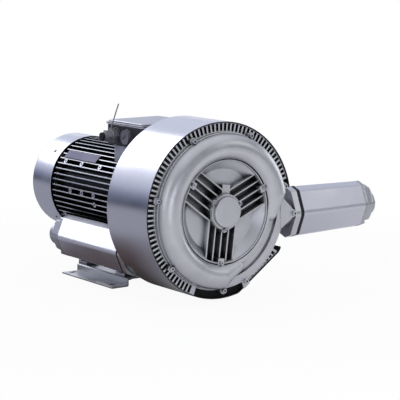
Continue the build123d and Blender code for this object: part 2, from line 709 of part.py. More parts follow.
def shaft():
    """The shaft from the front journal to the fan seat."""
    journal = BEARING_BORE / 2 - FIT_CLEARANCE
    front = FRONT_BEARING - 2
    nut_front = IMPELLER_1_FRONT - NUT_WIDTH
    collar = IMPELLER_2_BACK
    rear_seat = REAR_BEARING
    body = turned(
        (0, front),
        (journal, front),
        (journal, nut_front - 3),
        (IMPELLER_SEAT / 2, nut_front - 3),
        (IMPELLER_SEAT / 2, collar),
        (SHAFT_COLLAR / 2, collar),
        (SHAFT_COLLAR / 2, collar + 50),
        (ROTOR_SEAT / 2, collar + 50),
        (ROTOR_SEAT / 2, rear_seat - 6),
        (journal, rear_seat - 6),
        (journal, rear_seat + BEARING_WIDTH + 2),
        (FAN_SEAT / 2, rear_seat + BEARING_WIDTH + 2),
        (FAN_SEAT / 2, COWL_BACK - 28),
        (0, COWL_BACK - 28),
    )
    top = IMPELLER_SEAT / 2
    half = IMPELLER_KEY / 2
    body -= block(-half, half, top - 4, top + 1, IMPELLER_1_FRONT + 2, IMPELLER_2_BACK - 2)
    return body


def impeller_key():
    """One long key that drives both impellers."""
    top = IMPELLER_SEAT / 2
    half = IMPELLER_KEY / 2 - FIT_CLEARANCE
    return block(-half, half, top - 4, top + 4 - JOINT_CLEARANCE, IMPELLER_1_FRONT + 2, IMPELLER_2_BACK - 2)


def impeller_spacer():
    """The sleeve that keeps the two impellers apart."""
    bore = IMPELLER_SEAT / 2 + FIT_CLEARANCE
    front = IMPELLER_1_FRONT + IMPELLER_WIDTH
    sleeve = tube(IMPELLER_HUB_RADIUS - 4, bore, front, IMPELLER_2_FRONT)
    half = IMPELLER_KEY / 2
    return sleeve - block(-half, half, 0, IMPELLER_SEAT / 2 + 4, 0, MIDDLE_BACK)


def impeller_nut():
    """The slotted round nut that clamps the impellers against the shaft collar."""
    back = IMPELLER_1_FRONT
    nut = tube(NUT_RADIUS, IMPELLER_SEAT / 2, back - NUT_WIDTH, back)
    for i in range(4):
        notch = block(NUT_RADIUS - 4, NUT_RADIUS + 1, -3, 3, back - NUT_WIDTH - 1, back + 1)
        nut -= Rot(0, 0, 45 + 90 * i) * notch
    return nut


def bearing_parts(front):
    """A deep groove ball bearing: outer ring, inner ring and the balls joined by their cage."""
    back = front + BEARING_WIDTH
    outside, bore = BEARING_OUTSIDE / 2, BEARING_BORE / 2
    pitch = (outside + bore) / 2
    middle = (front + back) / 2
    outer = tube(outside, outside - BEARING_RING, front, back)
    inner = tube(bore + BEARING_RING, bore, front, back)
    track = revolve(half_section(few_sided(BALL_RADIUS + BALL_CLEARANCE, pitch, middle)), Axis.Z)
    cage = tube(pitch + CAGE_THICKNESS / 2, pitch - CAGE_THICKNESS / 2, middle - 5, middle + 5)
    arc = [(BALL_RADIUS * cos(radians(a)), BALL_RADIUS * sin(radians(a))) for a in range(-90, 91, 36)]
    ball = revolve(half_section(make_face(Polyline(*arc, close=True))), Axis.Z)
    ball = Pos(pitch, 0, -middle) * Rot(0, 90, 0) * ball
    balls = [Rot(0, 0, 360 / BEARING_BALLS * (i + 0.5)) * ball for i in range(BEARING_BALLS)]
    return outer - track, inner - track, cage + balls


def bearing_cap():
    """The hub cover: a flange with three ears and a raised round boss."""
    back = -HUB_FRONT
    outline = Circle(HUB_RADIUS - 1)
    for x, y in ear_places(EAR_CIRCLE):
        outline += Pos(x, y) * Circle(EAR_RADIUS)
    cap = plate(outline, back - CAP_FLANGE, back)
    cap += bar(CAP_BOSS_RADIUS, back - CAP_FLANGE - CAP_BOSS, back - CAP_FLANGE)
    cap += tube(BEARING_OUTSIDE / 2 - 1, BEARING_OUTSIDE / 2 - 6, back, FRONT_BEARING)
    cap = chamfer(cap.faces().sort_by(Axis.Z)[-1].edges(), 2)
    for x, y in ear_places(EAR_CIRCLE):
        cap -= bar(CAP_SCREW / 2 + JOINT_CLEARANCE, back - CAP_FLANGE - 1, back + 1, x, y)
    return cap


def lip_seal(front):
    """A shaft seal in its bore."""
    return tube(SEAL_RADIUS, SHAFT_COLLAR / 2 + JOINT_CLEARANCE, front, front + SEAL_WIDTH)


def motor_housing():
    """The finned aluminium frame with its flange, terminal pedestal and foot pads."""
    body = tube(MOTOR_TUBE_RADIUS, STATOR_RADIUS, MOTOR_FRONT, MOTOR_BACK)
    body += tube(MOTOR_FLANGE_RADIUS, MOTOR_TUBE_RADIUS - 1, MOTOR_FRONT, MOTOR_FRONT + MOTOR_FLANGE)
    body += tube(MOTOR_TUBE_RADIUS + 10, MOTOR_TUBE_RADIUS - 1, MOTOR_BACK - 16, MOTOR_BACK)
    fins = Sketch()
    for i in range(FIN_COUNT):
        angle = 360 / FIN_COUNT * (i + 0.5)
        length = FIN_TIP_RADIUS - MOTOR_TUBE_RADIUS + 2
        fin = Pos(FIN_TIP_RADIUS - length / 2, 0) * Rectangle(length, FIN_THICKNESS)
        fins += Rot(0, 0, angle) * fin
    body += plate(fins, FIN_FRONT - 1, MOTOR_BACK - 6)
    half = PEDESTAL_WIDTH / 2
    pedestal = block(-half, half, 60, BOX_BOTTOM, PEDESTAL_FRONT, PEDESTAL_FRONT + PEDESTAL_LENGTH)
    for depth in BRACKET_DEPTHS:
        for side in (-1, 1):
            x0, x1 = sorted((side * 44, side * 92))
            body += block(x0, x1, -PAD_BOTTOM, -70, depth - BRACKET_PAD / 2, depth + BRACKET_PAD / 2)
    body += pedestal
    body -= bar(STATOR_RADIUS, MOTOR_FRONT - 1, MOTOR_BACK + 1)
    body -= wire_way(80, BOX_BOTTOM + 1)
    half_plate = PLATE_LENGTH / 2 + 1
    pad = block(MOTOR_TUBE_RADIUS - 2, PLATE_SEAT, -PLATE_WIDTH / 2 - 1, PLATE_WIDTH / 2 + 1,
                PLATE_DEPTH - half_plate, PLATE_DEPTH + half_plate)
    body += Rot(0, 0, PLATE_ANGLE) * pad
    for depth, radius_angle in boss_places():
        x, y = round_about(FIN_TIP_RADIUS - 12, radius_angle)
        boss = Pos(x, y, -depth) * Rot(0, 0, radius_angle) * Rot(0, 90, 0)
        body += boss * Cylinder(8, 24)
        body -= boss * Pos(0, 0, 9) * Cylinder(3.4, 10)
    for x, y in motor_bolt_places():
        flange_back = MOTOR_FRONT + MOTOR_FLANGE
        body -= bar(BRACKET_BOLT / 2 + JOINT_CLEARANCE, MOTOR_FRONT - 1, flange_back + 1, x, y)
        body -= bar(BRACKET_BOLT, flange_back, FIN_FRONT + 24, x, y)
    for x, y in foot_bolt_places():
        body -= Pos(x, -PAD_BOTTOM + 9, -y) * Rot(90, 0, 0) * Cylinder(BRACKET_BOLT / 2, 22)
    for angle in cowl_angles():
        x, y = round_about(STATOR_RADIUS + 5, angle)
        body -= bar(3, MOTOR_BACK - 20, MOTOR_BACK + 1, x, y)
    return body


def wire_way(low, high):
    """The way for the winding's leads up into the terminal box."""
    return block(-30, 30, low, high, PEDESTAL_FRONT + 50, PEDESTAL_FRONT + 110)


def boss_places():
    """Drilled bosses on the left flank for a foot on that side, as (depth, angle)."""
    upper = [(640, 145), (548, 145), (446, 145)]
    middle = [(574, 180), (508, 180), (442, 180), (440, 191)]
    return upper + middle + [(648, 214)]


def cowl_angles():
    """The four places where cowl and rear shield are screwed."""
    return [45 + 90 * i for i in range(4)]


def foot_bolt_places():
    """The bolts between brackets and motor pads, as (x, depth)."""
    return [(side * 68, depth - BRACKET_PAD / 2 + 10) for depth in BRACKET_DEPTHS for side in (-1, 1)]


def rear_shield():
    """The motor's rear end shield with the rear bearing seat and the cowl bosses."""
    back = MOTOR_BACK + SHIELD_DEPTH
    shield = turned(
        (STATOR_RADIUS - FIT_CLEARANCE, MOTOR_BACK - 8),
        (STATOR_RADIUS - FIT_CLEARANCE, MOTOR_BACK),
        (MOTOR_TUBE_RADIUS + 8, MOTOR_BACK),
        (MOTOR_TUBE_RADIUS + 8, MOTOR_BACK + 10),
        (90, MOTOR_BACK + 26),
        (58, REAR_BEARING + BEARING_WIDTH + 6),
        (BEARING_BORE / 2 + 4, REAR_BEARING + BEARING_WIDTH + 6),
        (BEARING_BORE / 2 + 4, REAR_BEARING + BEARING_WIDTH),
        (BEARING_OUTSIDE / 2 + FIT_CLEARANCE, REAR_BEARING + BEARING_WIDTH),
        (BEARING_OUTSIDE / 2 + FIT_CLEARANCE, REAR_BEARING - 4),
        (52, REAR_BEARING - 4),
        (82, MOTOR_BACK + 16),
        (104, MOTOR_BACK + 2),
        (104, MOTOR_BACK - 8),
    )
    for angle in cowl_angles():
        reach = COWL_RADIUS - COWL_THICKNESS - JOINT_CLEARANCE
        boss = block(MOTOR_TUBE_RADIUS - 18, reach, -9, 9, MOTOR_BACK + 4, COWL_SCREW_DEPTH + 9)
        boss &= bar(reach, 0, 900)
        shield += Rot(0, 0, angle) * boss
        hole = Rot(0, 0, angle) * Pos(reach, 0, -COWL_SCREW_DEPTH) * Rot(0, 90, 0) * Cylinder(2.5, 24)
        shield -= hole
    return shield


def cooling_fan():
    """The motor's own fan: hub, back plate and straight blades for either direction."""
    front = MOTOR_BACK + SHIELD_DEPTH + 6
    back = front + FAN_WIDTH
    bore = FAN_SEAT / 2 + FIT_CLEARANCE
    fan = tube(FAN_SEAT / 2 + 9, bore, front, back)
    fan += tube(FAN_RADIUS - 14, bore, front, front + 4)
    blades = Sketch()
    for i in range(FAN_BLADES):
        length = FAN_RADIUS - FAN_SEAT / 2 - 4
        middle = FAN_RADIUS - length / 2
        blades += Rot(0, 0, 360 / FAN_BLADES * i) * Pos(middle, 0) * Rectangle(length, 4)
    return fan + plate(blades, front + 2, back)


def fan_cowl():
    """The deep-drawn cowl with its air inlet grille at the back."""
    inside = COWL_RADIUS - COWL_THICKNESS
    corner = COWL_CORNER
    cowl = turned(
        (COWL_RADIUS, COWL_FRONT),
        (COWL_RADIUS, COWL_BACK - corner),
        (COWL_RADIUS - 0.3 * corner, COWL_BACK - 0.3 * corner),
        (COWL_RADIUS - corner, COWL_BACK),
        (0, COWL_BACK),
        (0, COWL_BACK - COWL_THICKNESS),
        (inside - corner, COWL_BACK - COWL_THICKNESS),
        (inside - 0.3 * corner, COWL_BACK - COWL_THICKNESS - 0.3 * corner),
        (inside, COWL_BACK - corner - COWL_THICKNESS),
        (inside, COWL_FRONT),
    )
    openings = Sketch()
    for k in range(5):
        inner = 30 + 19 * k
        slot_ring = Circle(inner + 10) - Circle(inner)
        openings += slot_ring
    spokes = Sketch()
    for i in range(8):
        spokes += Rot(0, 0, 22.5 + 45 * i) * Pos(COWL_RADIUS / 2, 0) * Rectangle(COWL_RADIUS, 9)
    openings -= spokes
    cowl -= plate(openings, COWL_BACK - COWL_THICKNESS - 1, COWL_BACK + 1)
    for angle in cowl_angles():
        hole = Pos(COWL_RADIUS, 0, -COWL_SCREW_DEPTH) * Rot(0, 90, 0) * Cylinder(2.8, 12)
        cowl -= Rot(0, 0, angle) * hole
    return cowl


def cowl_screws():
    """Four screws through the cowl into the shield's bosses."""
    screws = Part()
    for angle in cowl_angles():
        place = Rot(0, 0, angle) * Pos(COWL_RADIUS, 0, -COWL_SCREW_DEPTH) * Rot(0, 90, 0)
        head = Cylinder(5, 3, align=(Align.CENTER, Align.CENTER, Align.MIN))
        shank = Cylinder(2.5, 12, align=(Align.CENTER, Align.CENTER, Align.MAX))
        screws += place * (head + shank)
    return screws


def stator_core():
    """The laminated stator ring with its winding slots."""
    front, back = STATOR_FRONT, STATOR_FRONT + STATOR_LENGTH
    core = Circle(STATOR_RADIUS - FIT_CLEARANCE) - Circle(STATOR_BORE / 2)
    for i in range(24):
        core -= Rot(0, 0, 15 * i) * Pos(STATOR_BORE / 2 + 11, 0) * Rectangle(16, 8)
    return plate(core, front, back)


def stator_winding():
    """Coil bars in the slots, joined by the end windings into one body."""
    front, back = STATOR_FRONT, STATOR_FRONT + STATOR_LENGTH
    bars = Sketch()
    for i in range(24):
        bars += Rot(0, 0, 15 * i) * Pos(STATOR_BORE / 2 + 11, 0) * Rectangle(15, 7)
    winding = plate(bars, front - 2, back + 2)
    for near, far in ((front - WINDING_LENGTH, front - 1), (back + 1, back + WINDING_LENGTH)):
        winding += tube(STATOR_RADIUS - 8, STATOR_BORE / 2 + 4, near, far)
    return winding


def rotor_core():
    """The squirrel-cage rotor: stack and end rings."""
    front, back = STATOR_FRONT, STATOR_FRONT + STATOR_LENGTH
    bore = ROTOR_SEAT / 2 + FIT_CLEARANCE
    core = tube(STATOR_BORE / 2 - AIR_GAP, bore, front, back)
    ring = STATOR_BORE / 2 - 3
    return core + tube(ring, ring - 22, front - 12, back + 12)


def terminal_box():
    """The open box on the pedestal, with two threaded entries on the left."""
    right = BOX_LEFT + BOX_WIDTH
    back = BOX_FRONT + BOX_LENGTH
    body = block(BOX_LEFT, right, BOX_BOTTOM, BOX_TOP, BOX_FRONT, back)
    body = fillet(body.edges().filter_by(Axis.Y), 8)
    inside = block(BOX_LEFT + BOX_WALL, right - BOX_WALL, BOX_BOTTOM + BOX_WALL, BOX_TOP + 1,
                   BOX_FRONT + BOX_WALL, back - BOX_WALL)
    body -= inside
    body -= wire_way(BOX_BOTTOM - 1, BOX_BOTTOM + BOX_WALL + 1)
    for depth in (GLAND_DEPTH, PLUG_DEPTH):
        entry = Pos(BOX_LEFT, ENTRY_HEIGHT, -depth) * Rot(0, 90, 0)
        body += entry * Pos(0, 0, BOX_WALL / 2 - 2) * Cylinder(ENTRY_RADIUS + 7, BOX_WALL + 4)
        body -= entry * Cylinder(ENTRY_RADIUS, 40)
    for x, depth in lid_screw_places():
        post = Pos(x, (BOX_BOTTOM + BOX_TOP) / 2, -depth) * Rot(90, 0, 0)
        body += post * Cylinder(6, BOX_TOP - BOX_BOTTOM - BOX_WALL)
        body -= Pos(x, BOX_TOP - 8, -depth) * Rot(90, 0, 0) * Cylinder(2.5, 18)
    return body


def lid_screw_places():
    """The lid's four corner screws, as (x, depth)."""
    inset = 13
    xs = (BOX_LEFT + inset, BOX_LEFT + BOX_WIDTH - inset)
    depths = (BOX_FRONT + inset, BOX_FRONT + BOX_LENGTH - inset)
    return [(x, depth) for x in xs for depth in depths]


def lid_outline(bottom, top, grow):
    """A rounded plate with the lid's outline."""
    lid = block(BOX_LEFT - grow, BOX_LEFT + BOX_WIDTH + grow, bottom, top,
                BOX_FRONT - grow, BOX_FRONT + BOX_LENGTH + grow)
    return fillet(lid.edges().filter_by(Axis.Y), 9)


def lid_gasket():
    """The flat gasket between box and lid."""
    gasket = lid_outline(BOX_TOP, BOX_TOP + LID_GASKET, -0.5)
    gasket -= block(BOX_LEFT + 20, BOX_LEFT + BOX_WIDTH - 20, BOX_TOP - 1, BOX_TOP + LID_GASKET + 1,
                    BOX_FRONT + 20, BOX_FRONT + BOX_LENGTH - 20)
    for x, depth in lid_screw_places():
        gasket -= Pos(x, BOX_TOP, -depth) * Rot(90, 0, 0) * Cylinder(3, 12)
    return gasket


def terminal_lid():
    """The lid: a raised plateau on a flanged rim, with counterbored screw holes."""
    bottom = BOX_TOP + LID_GASKET
    lid = lid_outline(bottom, bottom + LID_THICKNESS, LID_OVERHANG - LID_STEP)
    lid = chamfer(lid.faces().sort_by(Axis.Y)[-1].edges(), 2)
    lid += lid_outline(bottom, bottom + LID_RIM, LID_OVERHANG)
    for x, depth in lid_screw_places():
        hole = Pos(x, bottom, -depth) * Rot(90, 0, 0)
        lid -= hole * Cylinder(2.8, 60)
        lid -= Pos(x, bottom + LID_THICKNESS, -depth) * Rot(90, 0, 0) * Cylinder(5.5, 8)
    return lid


def lid_screws():
    """Four screws down into the box's posts."""
    seat = BOX_TOP + LID_GASKET + LID_THICKNESS - 4
    screws = Part()
    for x, depth in lid_screw_places():
        head = Pos(x, seat + 2, -depth) * Rot(90, 0, 0) * Cylinder(4.8, 4)
        shank = Pos(x, seat - 12, -depth) * Rot(90, 0, 0) * Cylinder(2.5, 24)
        screws += head + shank
    return screws


def terminal_board():
    """The moulded board with six studs."""
    floor = BOX_BOTTOM + BOX_WALL
    centre = PEDESTAL_FRONT + 80
    board = block(-46, 46, floor, floor + 14, centre + 36, centre + 84)
    for i in range(3):
        for depth in (centre + 48, centre + 72):
            board += Pos(-28 + 28 * i, floor + 20, -depth) * Rot(90, 0, 0) * Cylinder(3, 16)
    return board


def cable_gland():
    """The gland body: thread, hexagon and dome nut, bored for a cable."""
    place = Pos(BOX_LEFT - 2 - BOX_WALL / 2 + 0.5, ENTRY_HEIGHT, -GLAND_DEPTH) * Rot(0, -90, 0)
    gland = Pos(0, 0, -6) * Cylinder(ENTRY_RADIUS - 0.2, 12)
    gland += extrude(RegularPolygon(ENTRY_RADIUS + 6, 6), 12)
    gland += Pos(0, 0, 12) * Cylinder(ENTRY_RADIUS - 1, 8, align=(Align.CENTER, Align.CENTER, Align.MIN))
    nut = Pos(0, 0, 20) * extrude(RegularPolygon(ENTRY_RADIUS + 3, 6), 14)
    gland += nut
    gland += Pos(0, 0, 34 + 4) * Cone(ENTRY_RADIUS - 1, 12, 8)
    gland -= Pos(0, 0, 15) * Cylinder(9, 80)
    return place * gland


def gland_plug():
    """The rubber plug that closes the gland until a cable is fitted."""
    place = Pos(BOX_LEFT - 2 - BOX_WALL / 2 + 0.5, ENTRY_HEIGHT, -GLAND_DEPTH) * Rot(0, -90, 0)
    plug = Pos(0, 0, 24) * Cylinder(9 - FIT_CLEARANCE, 36)
    plug += Pos(0, 0, 42) * Cylinder(11.5, 7, align=(Align.CENTER, Align.CENTER, Align.MIN))
    return place * plug


def blanking_plug():
    """The slotted screw plug in the second entry."""
    place = Pos(BOX_LEFT - 2 - BOX_WALL / 2 + 0.5, ENTRY_HEIGHT, -PLUG_DEPTH) * Rot(0, -90, 0)
    plug = Pos(0, 0, -5) * Cylinder(ENTRY_RADIUS - 0.2, 10)
    plug += Cylinder(ENTRY_RADIUS + 5, 9, align=(Align.CENTER, Align.CENTER, Align.MIN))
    plug -= Pos(0, 0, 9) * Rot(0, 0, 35) * Box(24, 4, 6)
    return place * plug


def cable_tie():
    """A nylon tie left round the gland, its tail standing up."""
    place = Pos(BOX_LEFT - 2 - BOX_WALL / 2 + 0.5, ENTRY_HEIGHT, -GLAND_DEPTH) * Rot(0, -90, 0)
    loop = Pos(0, 0, 14) * extrude(Circle(ENTRY_RADIUS + 1) - Circle(ENTRY_RADIUS - 1 + FIT_CLEARANCE), 4)
    tail_base = ENTRY_RADIUS - 0.5
    tie = place * loop
    lock = Pos(BOX_LEFT - 20.5, ENTRY_HEIGHT + tail_base + 3, -GLAND_DEPTH)
    tie += lock * Box(5, 7, 7)
    tail = Pos(0, TIE_TAIL / 2, 0) * Box(3.6, TIE_TAIL, 1.4)
    tie += lock * Rot(TIE_LEAN, 0, -2) * tail
    return tie


def shell_between(place_plane, near_half, far_scale, length, opening):
    """A tapering hexagonal shell between two stations, hollow when opening is true."""
    solid = tapered(place_plane, near_half, far_scale, length, 0, 0)
    if opening:
        solid -= tapered(place_plane, near_half, far_scale, length, SILENCER_WALL, 1)
    return solid


def tapered(place_plane, near_half, far_scale, length, shrink, beyond):
    """The silencer's hexagon drawn out from one station to another, set in by shrink."""
    w, h = near_half
    near = place_plane(-beyond) * hexagon(w - shrink, h - shrink)
    far = place_plane(length + beyond) * hexagon(w * far_scale - shrink, h * far_scale - shrink)
    return loft([near, far], ruled=True)


def right_plane(start):
    """Stations along the right silencer, which lies across the shaft."""

    def at(distance):
        return Plane((start + distance, RIGHT_HEIGHT, -RIGHT_DEPTH), x_dir=(0, 0, -1), z_dir=(1, 0, 0))

    return at


def left_plane(start):
    """Stations along the left silencer, which lies along the shaft."""
    x, y = LEFT_CENTRE

    def at(distance):
        return Plane((x, y, -(start + distance)), x_dir=(-1, 0, 0), z_dir=(0, 0, -1))

    return at


def silencer_parts(plane_from, flange_face, gasket_thickness, half, taper, tube_length, cap_length):
    """All pieces of one silencer: gasket, shell, foam, pipe, cap and screws."""
    w, h = half
    gasket = extrude(plane_from(flange_face)(0) * (hexagon(w, h) - Circle(NECK_BORE)), gasket_thickness)
    shell_start = flange_face + gasket_thickness
    at = plane_from(shell_start)
    shell = shell_between(at, (w - 1, h - 1), taper, tube_length, True)
    foam_near, foam_far = 2, tube_length - 2
    foam_shrink = SILENCER_WALL + 1.5
    scale_near = 1 - (1 - taper) * foam_near / tube_length
    scale_far = 1 - (1 - taper) * foam_far / tube_length
    foam = loft(
        [
            at(foam_near) * hexagon((w - 1) * scale_near - foam_shrink, (h - 1) * scale_near - foam_shrink),
            at(foam_far) * hexagon((w - 1) * scale_far - foam_shrink, (h - 1) * scale_far - foam_shrink),
        ],
        ruled=True,
    )
    foam -= extrude(at(0) * Circle(PIPE_RADIUS + 0.5), tube_length)
    cap_half = ((w - 1) * taper + 0.5, (h - 1) * taper + 0.5)
    outside = shell_between(at, (w - 1, h - 1), taper, tube_length, False)
    for u, v in cap_screw_places(cap_half):
        post = at(tube_length - SCREW_POST) * Location((u, v, SCREW_POST / 2))
        foam -= post * Cylinder(SCREW_POST_RADIUS + 0.5, SCREW_POST)
        shell += (post * Cylinder(SCREW_POST_RADIUS, SCREW_POST)) & outside
        shell -= post * Cylinder(SHELL_SCREW / 2, SCREW_POST + 2)
    pipe = extrude(at(0) * (Circle(PIPE_RADIUS) - Circle(PIPE_RADIUS - PIPE_WALL)), tube_length)
    cap_at = plane_from(shell_start + tube_length)
    cap = end_cap(cap_at, cap_half, cap_length)
    screws = Part()
    for u, v in cap_screw_places(cap_half):
        screw = Cylinder(5, 5, align=(Align.CENTER, Align.CENTER, Align.MIN))
        screw += Cylinder(SHELL_SCREW / 2, 24, align=(Align.CENTER, Align.CENTER, Align.MAX))
        screws += cap_at(CAP_EAR) * Location((u, v, 0)) * screw
    return gasket, shell, foam, pipe, cap, screws


def cap_screw_places(cap_half):
    """Four screws of an end cap, on ears at its shoulders."""
    w, h = cap_half
    return [(su * w * 0.42, sv * h * (SILENCER_CORNER - 0.06)) for su in (-1, 1) for sv in (-1, 1)]


def end_cap(at, cap_half, cap_length):
    """The cast end cap: a drafted bowl with screw ears and a threaded port in its end."""
    w, h = cap_half
    cap = extrude(at(0) * hexagon(w, h), CAP_EAR)
    cap += loft(
        [
            at(CAP_EAR) * hexagon(w - 2, h - 10),
            at(cap_length * 0.75) * hexagon(w - 6, h - 14),
            at(cap_length) * hexagon(w - 16, h - 24),
        ],
        ruled=True,
    )
    cap += extrude(at(CAP_EAR) * Circle(PORT_RADIUS + 8), cap_length - CAP_EAR)
    hollow = extrude(at(-1) * hexagon(w - 9, h - 16), cap_length - PORT_LENGTH + 1)
    cap -= hollow
    cap -= extrude(at(-1) * Circle(PORT_RADIUS), cap_length + 2)
    for u, v in cap_screw_places(cap_half):
        cap -= at(CAP_EAR) * Location((u, v, 20)) * Cylinder(6, 40)
        cap -= at(0) * Location((u, v, 0)) * Cylinder(SHELL_SCREW / 2 + JOINT_CLEARANCE, 40)
    return cap


def foot_rail(side):
    """A Z-bent rail: a shelf under the brackets, a web and a slotted foot."""
    floor = FOOT_LEVEL
    top = floor + RAIL_HEIGHT
    web = RAIL_WEB
    t = RAIL_SHEET
    outline = [
        (web - RAIL_SHELF, top),
        (web + t, top),
        (web + t, floor + t),
        (web + RAIL_FOOT, floor + t),
        (web + RAIL_FOOT, floor),
        (web, floor),
        (web, top - t),
        (web - RAIL_SHELF, top - t),
    ]
    rail = plate(make_face(Polyline(*outline, close=True)), RAIL_FRONT, RAIL_FRONT + RAIL_LENGTH)
    bends = [e for e in rail.edges().filter_by(Axis.Z) if abs(e.center().X - web) < 0.1]
    outer = [e for e in bends if e.center().Y < floor + 1]
    inner = [e for e in rail.edges().filter_by(Axis.Z) if abs(e.center().X - web - t) < 0.1]
    upper = [e for e in inner if e.center().Y > top - 1]
    rail = fillet(outer + upper, RAIL_BEND)
    for depth in slot_depths():
        slot = Pos(FOOT_SLOT_ACROSS / 2, floor, -depth) * Rot(90, 0, 0)
        rail -= slot * extrude(SlotOverall(FOOT_SLOT_LENGTH, FOOT_SLOT_WIDTH), 20, both=True)
    for x, depth in shelf_bolt_places():
        if x > 0:
            rail -= Pos(x, top, -depth) * Rot(90, 0, 0) * Cylinder(BRACKET_BOLT / 2 + JOINT_CLEARANCE, 12)
    if side < 0:
        rail = mirror(rail, about=Plane.YZ)
    return rail


def slot_depths():
    """The depths of the foot slots, front and back."""
    return (FRONT_TO_FEET - FOOT_SLOT_ALONG / 2, FRONT_TO_FEET + FOOT_SLOT_ALONG / 2)


def shelf_bolt_places():
    """The bolts between rails and brackets, as (x, depth)."""
    x = RAIL_WEB - RAIL_SHELF / 2 - 3
    return [(side * x, depth - BRACKET_PAD / 2 + 10) for depth in BRACKET_DEPTHS for side in (-1, 1)]


def trapezoid(top_half, top, bottom_half, bottom):
    """An upright outline, wider at one end, centred on the middle line."""
    corners = [(-top_half, top), (-bottom_half, bottom), (bottom_half, bottom), (top_half, top)]
    return make_face(Polyline(*corners, close=True))


def foot_brackets():
    """Two cast saddles that stand on the rails and carry the motor's foot pads."""
    shelf = FOOT_LEVEL + RAIL_HEIGHT
    brackets = Part()
    for depth in BRACKET_DEPTHS:
        front, back = depth - BRACKET_PAD / 2, depth + BRACKET_PAD / 2
        outline = trapezoid(92, -PAD_BOTTOM, 96, shelf)
        window = trapezoid(38, -PAD_BOTTOM - 16, 46, shelf + 14)
        saddle = plate(outline - window, back - BRACKET_THICKNESS, back)
        for side in (-1, 1):
            x0, x1 = sorted((side * 44, side * 92))
            saddle += block(x0, x1, -PAD_BOTTOM - 10, -PAD_BOTTOM, front, back)
            x0, x1 = sorted((side * 52, side * 96))
            saddle += block(x0, x1, shelf, shelf + 10, front, back)
            x0, x1 = sorted((side * 84, side * 92))
            saddle += block(x0, x1, shelf, -PAD_BOTTOM, front, back)
        brackets += saddle
    hole = Rot(90, 0, 0) * Cylinder(BRACKET_BOLT / 2 + JOINT_CLEARANCE, 30)
    for x, depth in foot_bolt_places():
        brackets -= Pos(x, -PAD_BOTTOM, -depth) * hole
    for x, depth in shelf_bolt_places():
        brackets -= Pos(x, shelf, -depth) * hole
    return brackets


def vertical_bolt(x, y, depth, grip, up):
    """A hexagon bolt standing along y, its head on the seat at y."""
    head = extrude(RegularPolygon(BRACKET_BOLT * 0.85, 6), 6.4)
    shank = Cylinder(BRACKET_BOLT / 2, grip, align=(Align.CENTER, Align.CENTER, Align.MAX))
    turn = Rot(90, 0, 0) if up else Rot(-90, 0, 0)
    return Pos(x, y, -depth) * turn * (head + shank)


def pad_bolts():
    """Bolts up through the brackets into the motor pads."""
    bolts = Part()
    for x, depth in foot_bolt_places():
        bolts += vertical_bolt(x, -PAD_BOTTOM - 10, depth, 24, True)
    return bolts


def shelf_bolts():
    """Bolts down through the brackets and the rail shelves, with their nuts."""
    shelf = FOOT_LEVEL + RAIL_HEIGHT
    bolts = Part()
    for x, depth in shelf_bolt_places():
        bolts += vertical_bolt(x, shelf + 10, depth, 23, False)
        nut = extrude(RegularPolygon(BRACKET_BOLT * 0.85, 6), 7)
        bolts += Pos(x, shelf - RAIL_SHEET, -depth) * Rot(90, 0, 0) * nut
    return bolts


def cover_bolts():
    """The socket screws of the cover's eight lugs."""
    bolts = Part()
    for x, y in lug_places():
        bolts += socket_screw(CASING_BOLT, COVER_BACK + LUG_FRONT + 22, x, y, -LUG_FRONT)
    return bolts


def recess_screws():
    """The three screws on the recess rim."""
    screws = Part()
    for x, y in ear_places(RECESS_RADIUS):
        screws += socket_screw(CAP_SCREW, 18, x, y, -RECESS_RIM - 3)
    return screws


def cap_screws():
    """The three screws of the bearing cap."""
    screws = Part()
    for x, y in ear_places(EAR_CIRCLE):
        screws += socket_screw(CAP_SCREW, 20, x, y, -HUB_FRONT - CAP_FLANGE)
    return screws


def rear_bolts():
    """Screws from behind that hold the rear casing to the middle casing."""
    bolts = Part()
    for x, y in rear_bolt_places():
        bolts += socket_screw(CASING_BOLT, REAR_FLANGE + 18, x, y, MIDDLE_BACK + REAR_FLANGE, flip=True)
    return bolts


def motor_bolts():
    """Screws from behind that hold the motor flange to the bell."""
    bolts = Part()
    for x, y in motor_bolt_places():
        seat = MOTOR_FRONT + MOTOR_FLANGE
        bolts += socket_screw(BRACKET_BOLT, MOTOR_FLANGE + 10, x, y, seat, flip=True)
    return bolts


def rating_plate():
    """A bare plate on its cast pad, on the motor's upper left flank."""
    place = Rot(0, 0, PLATE_ANGLE) * Pos(PLATE_SEAT, 0, -PLATE_DEPTH) * Rot(0, 90, 0)
    return place * extrude(RectangleRounded(PLATE_LENGTH, PLATE_WIDTH, 3), PLATE_SHEET)


def stand(piece):
    """Sets a piece drawn face-on round the shaft upright on the floor."""
    return Pos(0, -FRONT_TO_FEET, SHAFT_HEIGHT) * Rot(90, 0, 0) * piece


